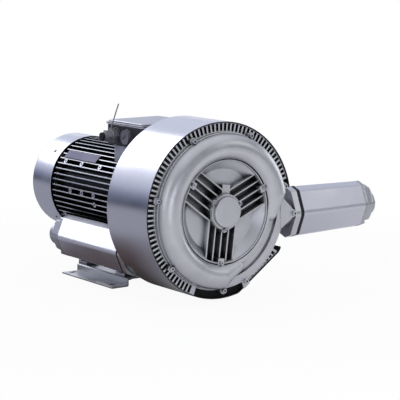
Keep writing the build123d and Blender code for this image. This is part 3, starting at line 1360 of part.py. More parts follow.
def build_all():
    """Every sub-part, by its name."""
    nodes = {}
    nodes["drum_band"] = drum_band()
    nodes["outlet_grille"], nodes["corner_grille"] = grille()
    nodes["front_cover"] = front_cover()
    nodes["middle_casing"] = middle_casing()
    nodes["rear_casing"] = rear_casing()
    nodes["bearing_cap"] = bearing_cap()
    nodes["cap_screws"] = cap_screws()
    nodes["recess_screws"] = recess_screws()
    nodes["cover_bolts"] = cover_bolts()
    nodes["rear_bolts"] = rear_bolts()
    nodes["motor_bolts"] = motor_bolts()
    nodes["impeller_stage_1"] = Pos(0, 0, -IMPELLER_1_FRONT) * impeller("back")
    nodes["impeller_stage_2"] = Pos(0, 0, -IMPELLER_2_FRONT) * impeller("front")
    nodes["impeller_spacer"] = impeller_spacer()
    nodes["impeller_nut"] = impeller_nut()
    nodes["impeller_key"] = impeller_key()
    nodes["shaft"] = shaft()
    front_rings = bearing_parts(FRONT_BEARING)
    rear_rings = bearing_parts(REAR_BEARING)
    for name, rings in (("front", front_rings), ("rear", rear_rings)):
        nodes[f"{name}_bearing_outer"], nodes[f"{name}_bearing_inner"], nodes[f"{name}_ball_cage"] = rings
    nodes["rear_seal"] = lip_seal(MIDDLE_BACK + REAR_FLANGE)
    nodes["motor_housing"] = motor_housing()
    nodes["rating_plate"] = rating_plate()
    nodes["stator_core"] = stator_core()
    nodes["stator_winding"] = stator_winding()
    nodes["rotor_core"] = rotor_core()
    nodes["rear_shield"] = rear_shield()
    nodes["cooling_fan"] = cooling_fan()
    nodes["fan_cowl"] = fan_cowl()
    nodes["cowl_screws"] = cowl_screws()
    nodes["terminal_box"] = terminal_box()
    nodes["terminal_board"] = terminal_board()
    nodes["lid_gasket"] = lid_gasket()
    nodes["terminal_lid"] = terminal_lid()
    nodes["lid_screws"] = lid_screws()
    nodes["cable_gland"] = cable_gland()
    nodes["gland_plug"] = gland_plug()
    nodes["blanking_plug"] = blanking_plug()
    nodes["cable_tie"] = cable_tie()
    kinds = ("gasket", "shell", "foam", "pipe", "cap", "screws")
    right_sizes = (RIGHT_GASKET, RIGHT_HALF, RIGHT_TAPER, RIGHT_TUBE, RIGHT_CAP)
    left_sizes = (LEFT_GASKET, LEFT_HALF, LEFT_TAPER, LEFT_TUBE, LEFT_CAP)
    right = silencer_parts(right_plane, RIGHT_FLANGE_FACE, *right_sizes)
    left = silencer_parts(left_plane, LEFT_FLANGE_FACE, *left_sizes)
    for side, pieces in (("right", right), ("left", left)):
        for kind, piece in zip(kinds, pieces):
            nodes[f"{side}_silencer_{kind}"] = piece
    nodes["left_foot_rail"] = foot_rail(-1)
    nodes["right_foot_rail"] = foot_rail(1)
    nodes["foot_brackets"] = foot_brackets()
    nodes["pad_bolts"] = pad_bolts()
    nodes["shelf_bolts"] = shelf_bolts()
    return nodes


os.makedirs("parts", exist_ok=True)
for name, piece in build_all().items():
    export_step(stand(piece), f"parts/{name}.step")
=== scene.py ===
# %% [markdown]
# Side channel blower, dressed for a studio picture.
# The solids come packed from the CAD model, already in metres and in place. This lesson gives each
# of them a skin that shades smoothly, adds the small forms that are easier as surfaces than as
# solids, gives every piece the finish of the real one, and lights and frames the whole.

import json
from math import acos, degrees, pi, radians

import bmesh
import bpy
import numpy as np
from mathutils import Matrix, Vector


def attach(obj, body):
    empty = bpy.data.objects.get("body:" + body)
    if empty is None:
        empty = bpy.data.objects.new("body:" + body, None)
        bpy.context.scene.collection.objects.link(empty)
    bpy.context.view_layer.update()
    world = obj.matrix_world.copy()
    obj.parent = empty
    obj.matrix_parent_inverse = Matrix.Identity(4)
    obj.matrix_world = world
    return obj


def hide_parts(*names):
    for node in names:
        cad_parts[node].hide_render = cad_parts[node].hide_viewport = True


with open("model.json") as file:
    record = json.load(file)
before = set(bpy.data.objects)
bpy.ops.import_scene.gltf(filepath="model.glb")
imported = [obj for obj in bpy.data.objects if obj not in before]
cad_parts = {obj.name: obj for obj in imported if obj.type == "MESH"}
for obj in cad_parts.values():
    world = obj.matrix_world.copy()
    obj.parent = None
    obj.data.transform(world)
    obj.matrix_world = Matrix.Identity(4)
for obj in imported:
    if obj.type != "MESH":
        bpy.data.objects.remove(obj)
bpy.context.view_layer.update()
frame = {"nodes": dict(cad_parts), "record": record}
BODY_OF = {node: body for body, nodes in frame["record"]["behaviour"]["bodies"].items() for node in nodes}
SLOT_OF = {part["node"]: part["material_slot"] for part in frame["record"]["subparts"]}

# %% [markdown]
# Everything round the shaft is easiest in the maker's own terms: a radius and an angle round the
# shaft, seen from the ribbed front, and a depth counted backwards from the drum's front edge. One
# function turns these into metres in the shared frame, for whole arrays at once.

# %% Places round the shaft
SHAFT_HEIGHT = 0.260  # above the floor
FRONT_EDGE = -0.478  # y of the drum's front edge
DRUM_RADIUS = 0.250
FLAT_ANGLE = radians(-54.7)  # the drum's one flat looks down to the right
FLAT_DISTANCE = 0.234  # from the shaft to the flat's outside


def around(radius, angle, depth):
    """x = r cos a, y = front edge + depth, z = shaft height + r sin a."""
    radius, angle, depth = np.broadcast_arrays(radius, angle, depth)
    across = radius * np.cos(angle)
    up = SHAFT_HEIGHT + radius * np.sin(angle)
    return np.stack([across, FRONT_EDGE + depth, up], axis=-1)


print("drum's top point:", around(DRUM_RADIUS, pi / 2, 0.0))

# %% [markdown]
# A new piece is a grid of points: rows run one way over the surface and columns the other. Joining
# neighbours gives quads, and a grid that closes on itself both ways gives a ring without edges.

# %% From a grid of points to faces


def grid_faces(rows, columns, loop_rows, loop_columns):
    """Quads between each grid point and its next row and next column, as one array."""
    down = np.arange(rows if loop_rows else rows - 1)
    along = np.arange(columns if loop_columns else columns - 1)
    i, j = np.meshgrid(down, along, indexing="ij")
    below, right = (i + 1) % rows, (j + 1) % columns
    corners = [i * columns + j, i * columns + right, below * columns + right, below * columns + j]
    return np.stack(corners, axis=-1).reshape(-1, 4)


print("quads on a closed ring of 12 by 4:", len(grid_faces(12, 4, True, True)))

# %% [markdown]
# Faces have to point outwards. A closed mesh whose faces point inwards has a negative volume, so
# the volume is measured first, and every face is turned round where it comes out negative.

# %% From faces to a mesh


def signed_volume(points, faces):
    """Sum over the quads' two triangles of a . (b x c) / 6; negative when they point inwards."""
    a, b, c, d = (points[faces[:, k]] for k in range(4))
    first = np.einsum("ij,ij->i", a, np.cross(b, c))
    second = np.einsum("ij,ij->i", a, np.cross(c, d))
    return (first + second).sum() / 6


def surface(name, grid, loop_rows=False, loop_columns=False, ends=False):
    """A mesh object from a grid; ends closes the first and last rows with a face each."""
    rows, columns = grid.shape[:2]
    points = grid.reshape(-1, 3)
    faces = grid_faces(rows, columns, loop_rows, loop_columns)
    polygons = faces.tolist()
    if ends:
        polygons.append(list(range(columns))[::-1])
        polygons.append(list(range((rows - 1) * columns, rows * columns)))
    if signed_volume(points - points.mean(axis=0), faces) < 0:
        polygons = [face[::-1] for face in polygons]
    mesh = bpy.data.meshes.new(name)
    mesh.from_pydata(points.tolist(), [], polygons)
    mesh.shade_smooth()
    piece = bpy.data.objects.new(name, mesh)
    bpy.context.scene.collection.objects.link(piece)
    return piece


# %% [markdown]
# A CAD solid arrives as loose triangles, and every one of them shades flat, so a polished curve
# would look like a cut gem. A copy whose corners are merged can shade smoothly across the
# curves and stay crisp where two faces meet at more than 30 degrees. The copy stands for the solid,
# has the same outline to the micrometre, and keeps its body and its material slot.

# %% Skins over the solids
CRISP_ANGLE = radians(30)
MERGE_DISTANCE = 2e-6
LARGE_FACE_WEIGHT = 80  # how far a corner's shading leans to the larger faces, up to 100


def skin(node):
    """The node's triangles with merged corners, smooth below the crisp angle."""
    mesh = frame["nodes"][node].data.copy()
    work = bmesh.new()
    work.from_mesh(mesh)
    bmesh.ops.remove_doubles(work, verts=work.verts, dist=MERGE_DISTANCE)
    for face in work.faces:
        face.smooth = True
    for edge in work.edges:
        edge.smooth = edge.calc_face_angle(pi) < CRISP_ANGLE
    work.to_mesh(mesh)
    work.free()
    piece = bpy.data.objects.new(node + "_skin", mesh)
    bpy.context.scene.collection.objects.link(piece)
    even = piece.modifiers.new("even_normals", "WEIGHTED_NORMAL")
    even.weight = LARGE_FACE_WEIGHT
    even.keep_sharp = True
    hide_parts(node)
    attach(piece, BODY_OF[node])
    return piece


skins = {node: skin(node) for node in sorted(frame["nodes"])}
print("skins:", len(skins), "triangles:", sum(len(s.data.polygons) for s in skins.values()))

# %% [markdown]
# Finishes come next. Colours are written as on a colour card, in sRGB, and one function turns
# them to the linear numbers that light is reckoned in. No real surface has one even tone, so a
# second function spreads a colour into a slightly darker and a slightly lighter one.

# %% Colours


def card(code):
    """sRGB hex to linear: c / 12.92 below 0.04045, else ((c + 0.055) / 1.055) ** 2.4."""
    channels = [int(code[i:i + 2], 16) / 255 for i in (1, 3, 5)]
    linear = [c / 12.92 if c <= 0.04045 else ((c + 0.055) / 1.055) ** 2.4 for c in channels]
    return (*linear, 1.0)


def grey(level):
    """The same linear level in all three channels."""
    return (level, level, level, 1.0)


def spread(code, mottle, lift=0.0):
    """Two tones: each channel x (1 - mottle), and each x (1 + mottle) plus the lift, at most 1."""
    channels = card(code)[:3]
    low = tuple(c * (1 - mottle) for c in channels)
    high = tuple(min(c * (1 + mottle) + lift, 1) for c in channels)
    return (*low, 1.0), (*high, 1.0)


print("middle grey in linear light:", card("#808080")[0])

# %% [markdown]
# A material is a tree of nodes. One function adds a node with its settings and its links, so a
# material reads as a list of what feeds what.

# %% Nodes


def add(tree, kind, inputs=None, stops=None, **settings):
    """Adds a node: settings are its properties, inputs are sockets or values by socket name."""
    node = tree.nodes.new(kind)
    for name, value in settings.items():
        setattr(node, name, value)
    for name, value in (inputs or {}).items():
        if isinstance(value, bpy.types.NodeSocket):
            tree.links.new(value, node.inputs[name])
        else:
            node.inputs[name].default_value = value
    if stops:
        ramp = node.color_ramp
        ramp.elements[0].position, ramp.elements[0].color = stops[0]
        ramp.elements[1].position, ramp.elements[1].color = stops[-1]
        for position, colour in stops[1:-1]:
            ramp.elements.new(position).color = colour
    return node


def new_material(name):
    """A node material with nothing in it yet, and its tree."""
    material = bpy.data.materials.new(name)
    material.use_nodes = True
    material.node_tree.nodes.clear()
    return material, material.node_tree


# %% [markdown]
# Most of this blower is cast aluminium: poured in sand or a die, shot-blasted, and left bare or
# given a thin silver coat. That gives the eye a soft grey sheen with a faint mottle. Painted shade
# makes the colour dull in the corners, and along the edges the colour is lightened, partly for the
# wear where hands and crates rub and partly as a painted highlight. The real grain is about half a
# millimetre, too fine for the picture, so it is drawn about ten times coarser: each metal below
# names the grain that is drawn, in millimetres.
#
# Two nodes that look only at the shape find these places. Ambient occlusion tells how much of the
# open room a point sees within a reach: from the open share down to the shut share its colour
# fades to a dark factor, which is painted shade. The Bevel node leans the normal over near an edge,
# and where it leans away from the true one, the colour is mixed nearly to white, a painted highlight
# on top of the wear.

# %% One recipe for all metals
MM = 0.001
MOTTLE_GRAINS = 9  # the mottle's patches are this many grains wide
RELIEF = 0.12  # height of the bump, as a share of a grain
EDGE_HIGHLIGHT_WHITE = 0.9  # how white the middle of an edge gets, for wear and as a painted highlight
EDGE_STARTS, EDGE_FULL = 0.985, 0.90  # cosines between the bevelled and the true normal
print("a rubbed edge starts where the normals part by", round(degrees(acos(EDGE_STARTS)), 1), "degrees")


def metal(name, colour, roughness, grain, metallic=0.85, mottle=0.06, bump=0.25, edge=0.0016,
          reach=0.03, dark=0.35, shut=0.40, open_share=0.86, stretch=(1, 1, 1)):
    """Metal mottled at 9 grains, with painted shade in corners, painted highlights on worn edges, and a
    bump of one grain.
    """
    material, tree = new_material(name)
    where = add(tree, "ShaderNodeTexCoord").outputs["Object"]
    run = add(tree, "ShaderNodeMapping", {"Vector": where, "Scale": stretch}).outputs["Vector"]
    fine = add(tree, "ShaderNodeTexNoise", {"Vector": run, "Scale": 1 / grain, "Detail": 3.0})
    broad = add(tree, "ShaderNodeTexNoise", {
        "Vector": where, "Scale": 1 / (MOTTLE_GRAINS * grain), "Detail": 4.0}).outputs["Fac"]
    low, high = spread(colour, mottle)
    tone = add(tree, "ShaderNodeValToRGB", {"Fac": broad}, stops=[(0.35, low), (0.65, high)])
    # Painted shade: the colour darkens in the corners that ambient occlusion finds.
    corner_shade_ao = add(tree, "ShaderNodeAmbientOcclusion", {"Distance": reach}, samples=6)
    shade = add(tree, "ShaderNodeValToRGB", {"Fac": corner_shade_ao.outputs["AO"]},
                stops=[(shut, grey(dark)), (open_share, grey(1))])
    round_edge = add(tree, "ShaderNodeBevel", {"Radius": edge}, samples=4).outputs["Normal"]
    true_way = add(tree, "ShaderNodeNewGeometry").outputs["Normal"]
    likeness = add(tree, "ShaderNodeVectorMath", {0: round_edge, 1: true_way},
                   operation="DOT_PRODUCT").outputs["Value"]
    # Painted highlight: where the bevelled normal leans off the true one, the colour is mixed towards
    # white, also for the wear there.
    edge_highlight_share = add(tree, "ShaderNodeMapRange", {
        "Value": likeness, "From Min": EDGE_STARTS, "From Max": EDGE_FULL,
        "To Min": 0.0, "To Max": EDGE_HIGHLIGHT_WHITE}).outputs["Result"]
    worn_and_highlit = add(tree, "ShaderNodeMix", {
        "Factor": edge_highlight_share, "A": tone.outputs["Color"], "B": grey(1)}, data_type="RGBA")
    base = add(tree, "ShaderNodeMix", {
        "Factor": 1.0, "A": worn_and_highlit.outputs["Result"], "B": shade.outputs["Color"]},
        data_type="RGBA", blend_type="MULTIPLY")
    dull = add(tree, "ShaderNodeMapRange", {
        "Value": broad, "From Min": 0.3, "From Max": 0.7,
        "To Min": roughness - 0.04, "To Max": roughness + 0.05})
    relief = add(tree, "ShaderNodeBump", {
        "Strength": bump, "Distance": RELIEF * grain, "Height": fine.outputs["Fac"], "Normal": round_edge})
    shader = add(tree, "ShaderNodeBsdfPrincipled", {
        "Base Color": base.outputs["Result"], "Metallic": metallic,
        "Roughness": dull.outputs["Result"], "Normal": relief.outputs["Normal"]})
    add(tree, "ShaderNodeOutputMaterial", {"Surface": shader.outputs["BSDF"]})
    return material


# %% [markdown]
# The castings first. They share one alloy and differ in how they were cleaned and coated, which
# shows in how sharp the light is on them. How black their corners stay is painted shade, set for each.

# %% Castings
# Shot-blasted cast aluminium: pale and even, with broad edges lightened for wear and as a painted
# highlight, which outline ribs and lugs, and corners in deep painted shade.
blasted_casting = metal("shot_blasted_cast_aluminium", "#d9dade", 0.34, 6 * MM, bump=0.12,
                        reach=0.026, dark=0.08, open_share=0.74, edge=0.0022)
# Cast aluminium under silver paint: bright fin tips, partly painted highlight, over gaps painted nearly
# black as shade, where no light gets in.
silver_coat = metal("silver_coated_casting", "#c8cad4", 0.34, 6 * MM,
                    reach=0.030, dark=0.008, shut=0.60, open_share=0.98, edge=0.0010)
# Finer casting of the silencers' end caps: a shade greyer, with a tight skin.
cap_casting = metal("fine_cast_aluminium_cap", "#c0c1c7", 0.32, 5 * MM, bump=0.10)
# Turned cast aluminium of the impellers: clean and bright, with faint patches.
machined_wheel = metal("machined_cast_wheel", "#c0c1c4", 0.30, 4 * MM, metallic=0.95, mottle=0.04)
# Cast box under dark grey paint: barely a metal to the eye, with a dull sheen on its rounds.
box_coat = metal("dark_grey_coated_casting", "#45444e", 0.45, 6 * MM, metallic=0.35, mottle=0.08)
# The box's lid under silver paint: the same tone as the motor, but smoother.
lid_coat = metal("silver_coated_lid", "#b7b9c4", 0.32, 7 * MM, metallic=0.9, mottle=0.03)
print("castings:", len(bpy.data.materials))

# %% [markdown]
# Rolled, drawn and punched metal has no cast grain. The rolls leave a faint run in a wide sheet, so
# the drum's relief is stretched round the band, and light lies on it in long even streaks.

# %% Sheet and drawn metals
# Rolled sheet of the drum: the brightest mirror here, with a satin run round the band.
satin_sheet = metal("rolled_satin_sheet", "#d6d7e0", 0.22, 9 * MM, metallic=1.0, mottle=0.012,
                    bump=0.015, dark=0.5, stretch=(0.15, 1.6, 0.15))
# Drawn steel of the fan cowl under silver paint: a smooth band of light along its barrel.
cowl_coat = metal("silver_coated_steel_sheet", "#d2d4de", 0.24, 9 * MM, metallic=0.95, mottle=0.01,
                  bump=0.015)
# Punched aluminium of the grille: nearly white bars, with a black line of painted shade along each punched
# edge.
# Bars so thin have to stay white from every side, so they are set as less of a metal than they are.
punched_sheet = metal("punched_aluminium_sheet", "#f6f7fa", 0.38, 5 * MM, metallic=0.35, bump=0.05,
                      reach=0.006, dark=0.05, shut=0.30, open_share=0.70)
# Extruded and anodised silencer shells: satin flats that each take one even tone.
extrusion = metal("satin_anodised_extrusion", "#d9dae4", 0.34, 9 * MM, metallic=0.90, mottle=0.01,
                  bump=0.012, dark=0.5, edge=0.0028)
# Galvanised sheet of the foot rails: light grey and slightly cloudy from the zinc bath.
galvanised = metal("galvanised_steel_sheet", "#dfe0e5", 0.33, 7 * MM, metallic=0.65, mottle=0.05,
                   bump=0.06, dark=0.6)
# Uncoated plate on the motor's flank: a dark, cool satin.
bare_plate = metal("bare_satin_plate", "#56546a", 0.40, 8 * MM, metallic=0.8, mottle=0.03, bump=0.04)
# Perforated steel sleeve in the silencers: plain grey steel, hardly seen.
sleeve_sheet = metal("perforated_sleeve_sheet", "#a5a6aa", 0.32, 3 * MM, metallic=1.0)
print("castings and sheets:", len(bpy.data.materials))

# %% [markdown]
# The last metals are steels: plated screws, ground shaft and bearings, and the stacked sheets of
# the stator and the rotor, whose thin edges draw fine lines round the core.

# %% Steels
# Zinc-plated screws: pale heads, with painted shade for the dark socket and the dark ring where they sit.
zinc = metal("zinc_plated_steel", "#e2e4ea", 0.30, 4 * MM, metallic=0.6, mottle=0.05, bump=0.05,
             edge=0.0005, dark=0.12, shut=0.30, open_share=0.62)
# Ground steel of shaft and bearings: clean, hard highlights.
ground_steel = metal("ground_bearing_steel", "#b8b8bb", 0.18, 3 * MM, metallic=1.0, mottle=0.02,
                     bump=0.03)
# Stacked electrical steel: darker, with its relief drawn out along the sheets' edges.
laminated = metal("stacked_electrical_steel", "#5e6066", 0.45, 2 * MM, metallic=0.8,
                  stretch=(0.1, 3, 0.1))
print("all metals:", len(bpy.data.materials))

# %% [markdown]
# The other finishes are not metals: black rubber with a dusty bloom, moulded polyamide with a
# fine eroded texture from its tool, brown enamelled copper wire, and open-cell foam. Their
# reflections are faint and their colour comes from the pigment. A tool's texture is about 0.1 mm
# wide, and is drawn at 2 or 3 mm so that it shows at all.

# %% One recipe for pigmented finishes
DRIFT_GRAINS = 12  # the colour drifts over this many grains
BLOOM = 0.002  # added to the lighter tone, so that black is never perfectly black
PIGMENT_IOR = 1.5  # typical for rubber, polyamide and enamel
print("share of light such a surface mirrors head-on:", ((PIGMENT_IOR - 1) / (PIGMENT_IOR + 1)) ** 2)


def moulded(name, colour, roughness, grain, bump=0.2, mottle=0.08, coat=0.0):
    """A pigmented surface with one grain of relief and a colour that drifts over 12 grains."""
    material, tree = new_material(name)
    where = add(tree, "ShaderNodeTexCoord").outputs["Object"]
    fine = add(tree, "ShaderNodeTexNoise", {
        "Vector": where, "Scale": 1 / grain, "Detail": 4.0}).outputs["Fac"]
    broad = add(tree, "ShaderNodeTexNoise", {
        "Vector": where, "Scale": 1 / (DRIFT_GRAINS * grain), "Detail": 2.0})
    low, high = spread(colour, mottle, BLOOM)
    tone = add(tree, "ShaderNodeValToRGB", {"Fac": broad.outputs["Fac"]}, stops=[(0.3, low), (0.7, high)])
    dull = add(tree, "ShaderNodeMapRange", {
        "Value": fine, "From Min": 0.3, "From Max": 0.7,
        "To Min": roughness - 0.05, "To Max": roughness + 0.05})
    relief = add(tree, "ShaderNodeBump", {"Strength": bump, "Distance": 0.1 * grain, "Height": fine})
    shader = add(tree, "ShaderNodeBsdfPrincipled", {
        "Base Color": tone.outputs["Color"], "Roughness": dull.outputs["Result"], "IOR": PIGMENT_IOR,
        "Coat Weight": coat, "Normal": relief.outputs["Normal"]})
    add(tree, "ShaderNodeOutputMaterial", {"Surface": shader.outputs["BSDF"]})
    return material


# %% [markdown]
# Each of these is set by three things that the eye reads at once: how dark the pigment is, how
# rough the skin is, and whether a clear gloss lies over it.

# %% Rubber, plastics, wire and foam
# Moulded rubber of gaskets and seals: soft black without a highlight.
black_rubber = moulded("moulded_black_rubber", "#141416", 0.62, 2 * MM)
# Polyamide of the cable gland: mid grey with a wet-looking gloss.
grey_polyamide = moulded("moulded_grey_polyamide", "#85848d", 0.30, 2 * MM, bump=0.1, coat=0.8)
# Undyed nylon of the tie: milky and pale.
pale_nylon = moulded("natural_nylon", "#b9b9bb", 0.40, 2 * MM, bump=0.05)
# Glass-filled polyamide of the fan: matt black.
black_polyamide = moulded("moulded_black_polyamide", "#1c1c1f", 0.50, 3 * MM)
# Pressed phenolic terminal board: flat brown.
phenolic = moulded("pressed_phenolic_board", "#5a4a36", 0.45, 2 * MM)
# Enamelled copper wire: warm brown strands with a varnish gloss.
enamelled_wire = moulded("enamelled_copper_wire", "#8a4f2a", 0.32, 1.5 * MM, bump=0.5, coat=0.4)
# Near-black that swallows nearly all light: painted shade inside the drum and the cowl, on slot walls, and
# on the ring behind the grille.
painted_shade_black = moulded("painted_shade_black_coat", "#060607", 0.85, 4 * MM, bump=0.4)
# Bead on the drum's edge: black as painted shade, with a faint line of light along it.
edge_bead_shade = moulded("black_edge_bead_shade", "#0a0a0b", 0.55, 3 * MM, bump=0.1)
# Open-cell foam in the silencers: dark grey and rough, with cells drawn at their 2.5 mm.
open_foam = moulded("open_cell_foam", "#3a3a3d", 0.95, 2.5 * MM, bump=1.0, mottle=0.3)
print("materials in all:", len(bpy.data.materials))

# %% [markdown]
# The CAD model gives every node a slot, which says what the piece is made of. This table is the
# paint shop's list: one finish for each slot.

# %% Each slot gets its finish
FINISH = {
    "cast_casing": blasted_casting,
    "drum_sheet": satin_sheet,
    "grille_sheet": punched_sheet,
    "motor_paint": silver_coat,
    "cowl_paint": cowl_coat,
    "impeller_cast": machined_wheel,
    "shaft_steel": ground_steel,
    "bearing_steel": ground_steel,
    "screw_steel": zinc,
    "black_rubber": black_rubber,
    "stator_steel": laminated,
    "winding_copper": enamelled_wire,
    "fan_plastic": black_polyamide,
    "plate_metal": bare_plate,
    "box_paint": box_coat,
    "lid_metal": lid_coat,
    "board_plastic": phenolic,
    "gland_plastic": grey_polyamide,
    "tie_plastic": pale_nylon,
    "silencer_metal": extrusion,
    "cap_metal": cap_casting,
    "sleeve_steel": sleeve_sheet,
    "silencer_foam": open_foam,
    "rail_zinc": galvanised,
    "bracket_cast": silver_coat,
}


def dress(piece, material):
    """The piece shows this one material."""
    piece.data.materials.clear()
    piece.data.materials.append(material)


for node, piece in skins.items():
    dress(piece, FINISH[SLOT_OF[node]])
    dress(frame["nodes"][node], FINISH[SLOT_OF[node]])
print("slots with a finish:", len(FINISH))

# %% [markdown]
# Some faces of a piece are painted near-black as shade: the inside of the drum and the cowl, and
# the walls of slots in thin metal, which catch no light. Painting them is quickest by rule: each
# face has a middle and a normal, and a rule on these two says which faces take the black as the
# piece's second material.

# %% Faces that look at the shaft, along the rim, or into a foot slot
FOOT_SLOT_ACROSS = 0.126  # x of the slots' middles, left and right
FOOT_SLOT_DEPTHS = (-0.121, 0.101)  # y of the slots' middles
FOOT_SLOT_HALVES = (0.0140, 0.0085)  # half a slot's length and width, with a little to spare
RAIL_BASE_TOP = 0.0045


def outward(middles):
    """Unit direction away from the shaft: (x, 0, z - shaft height) over its length."""
    away = (middles - (0, 0, SHAFT_HEIGHT)) * (1, 0, 1)
    return away / np.maximum(np.linalg.norm(away, axis=1, keepdims=True), 1e-9)


def looks_inside(middles, normals):
    """Normal . outward below -0.5."""
    return (normals * outward(middles)).sum(axis=1) < -0.5


def looks_along_rim(middles, normals):
    """|normal . rim direction| above 0.7, where the rim direction is outward turned by 90 degrees."""
    away = outward(middles)
    return np.abs(normals[:, 2] * away[:, 0] - normals[:, 0] * away[:, 2]) > 0.7


def walls_a_foot_slot(middles, normals):
    """Upright faces of the rail's base, |normal's z| below 0.3, within half a slot of its middle."""
    across = np.abs(np.abs(middles[:, 0]) - FOOT_SLOT_ACROSS)
    deep = np.abs(middles[:, 1:2] - FOOT_SLOT_DEPTHS).min(axis=1)
    upright = (np.abs(normals[:, 2]) < 0.3) & (middles[:, 2] < RAIL_BASE_TOP)
    return upright & (across < FOOT_SLOT_HALVES[0]) & (deep < FOOT_SLOT_HALVES[1])


print("outward at the drum's top point:", outward(around(DRUM_RADIUS, pi / 2, 0.0)[None, :]))

# %% [markdown]
# Blender keeps all middles and normals of a mesh's faces, and hands them over as flat arrays. The
# rule answers yes or no for each face, and as 1 or 0 these answers are the faces' material numbers.

# %% Painted black shade where these faces are


def shade_black_faces(node, rule):
    """The node's faces that the rule picks show the near-black painted shade."""
    faces = skins[node].data.polygons
    middles = np.empty(3 * len(faces), dtype=np.float32)
    normals = np.empty(3 * len(faces), dtype=np.float32)
    faces.foreach_get("center", middles)
    faces.foreach_get("normal", normals)
    picked = rule(middles.reshape(-1, 3), normals.reshape(-1, 3))
    skins[node].data.materials.append(painted_shade_black)
    faces.foreach_set("material_index", picked.astype(np.int32))
    print("faces coated black on", node, int(picked.sum()))


# Painted shade: near-black inside the drum and the cowl, on the rails' foot slot walls and on the grille's
# slot walls.
for node in ("drum_band", "fan_cowl"):
    shade_black_faces(node, looks_inside)
for node in ("left_foot_rail", "right_foot_rail"):
    shade_black_faces(node, walls_a_foot_slot)
for node in skins:
    if SLOT_OF[node] == "grille_sheet":
        shade_black_faces(node, looks_along_rim)

# %% [markdown]
# Behind the grille, between the casings and the drum, lies a near-black ring drawn as open-cell
# foam; its black paints the shade that makes the slots look black. It follows the drum's round and
# its flat, and stops short of the inlet's window. Its section is a plain rectangle, so a rectangle
# carried round the shaft makes it, and makes the fan's ring later on.

# %% Black ring behind the grille, painted shade
SHEET = 0.0023  # the drum's sheet with a little air
FOAM_INSIDE = 0.2264
FOAM_FRONT, FOAM_BACK = 0.0085, 0.0300
foam_angles = np.radians(np.linspace(16.0, 326.0, 311))


def drum_inside(angle):
    """The sheet's inner face: its radius, or the flat's distance / cos(angle from the flat's)."""
    lean = np.cos(angle - FLAT_ANGLE)
    flat = np.where(lean > 0.5, (FLAT_DISTANCE - SHEET) / np.maximum(lean, 0.5), DRUM_RADIUS)
    return np.minimum(DRUM_RADIUS - SHEET, flat)


def flat_ring(inside, outside, front, back, angles):
    """A rectangle carried round the shaft, from the inside to the outside radius, front to back."""
    corners = [(inside, front), (outside, front), (outside, back), (inside, back)]
    return np.stack([around(radius, angles, depth) for radius, depth in corners], axis=1)


foam_grid = flat_ring(FOAM_INSIDE, drum_inside(foam_angles), FOAM_FRONT, FOAM_BACK, foam_angles)
black_shade_ring = surface("drum_black_shade_ring", foam_grid, loop_columns=True, ends=True)
black_shade_ring.data.shade_flat()
dress(black_shade_ring, painted_shade_black)
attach(black_shade_ring, BODY_OF["drum_band"])
print("foam ring faces:", len(black_shade_ring.data.polygons))

# %% [markdown]
# The drum's cut edge carries a thin black bead, whose black paints the dark line of shade round the
# slots. It is a tube of ten flats that runs round the sheet and leaves out the inlet's window.

# %% Black bead on the drum's edge, painted shade
TUBE_FLATS = 10
BEAD_RADIUS = 0.0016
BEAD_DEPTH = -0.0004  # the bead stands this far before the sheet's edge
bead_angles = np.radians(np.linspace(11.0, 329.0, 400))


def thin_tube(radius, depth, half, angles):
    """A tube round the shaft: radius + half cos b and depth + half sin b, b once round the tube."""
    b = np.linspace(0, 2 * pi, TUBE_FLATS, endpoint=False)[None, :]
    middle = np.reshape(radius, (-1, 1))
    return around(middle + half * np.cos(b), angles[:, None], depth + half * np.sin(b))


bead_grid = thin_tube(drum_inside(bead_angles) + SHEET - BEAD_RADIUS, BEAD_DEPTH, BEAD_RADIUS, bead_angles)
bead = surface("drum_edge_bead", bead_grid, loop_columns=True, ends=True)
dress(bead, edge_bead_shade)
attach(bead, BODY_OF["drum_band"])
print("bead faces:", len(bead.data.polygons))

# %% [markdown]
# Two turned edges of the cover carry a painted highlight: the lip of the recess and the front of
# the outer rim. Each shows as a thin near-white line, drawn as a tube of ten flats. The lip runs
# full circle, and the rim's line stops where the arm to the inlet crosses it.

# %% Painted highlights on the cover's turned edges
# Near-white aluminium, a painted highlight along each edge. Like the grille's bars, so thin a line
# has to stay white from every side: a metallic of 1 would show the dim parts of the room too.
edge_highlight_metal = metal("painted_highlight_aluminium", "#ffffff", 0.28, 5 * MM, metallic=0.10, mottle=0.01,
                bump=0.02, dark=0.9)
# Half the width of each painted highlight line.
SKIM = 0.0017  # half the line's width
LINE_STEPS = 240
# name: radius, depth, first and last angle in degrees
HIGHLIT_EDGES = {
    "recess_lip_edge": (0.1448, -0.0219, 0.0, 360.0),
    "cover_rim_edge": (0.2190, -0.0079, 20.0, 320.0),
}
for name, (radius, depth, first, last) in HIGHLIT_EDGES.items():
    whole = last - first == 360.0
    line = np.radians(np.linspace(first, last, LINE_STEPS, endpoint=not whole))
    edge_line = surface(name, thin_tube(radius, depth, SKIM, line),
                        loop_rows=whole, loop_columns=True, ends=not whole)
    dress(edge_line, edge_highlight_metal)
    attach(edge_line, BODY_OF["front_cover"])
    print(name, "faces:", len(edge_line.data.polygons))

# %% [markdown]
# The motor's fan is a shrouded one: a flat ring closes its blades at the back, so that the air comes
# in by the eye and leaves round the rim. It turns with the rotor.

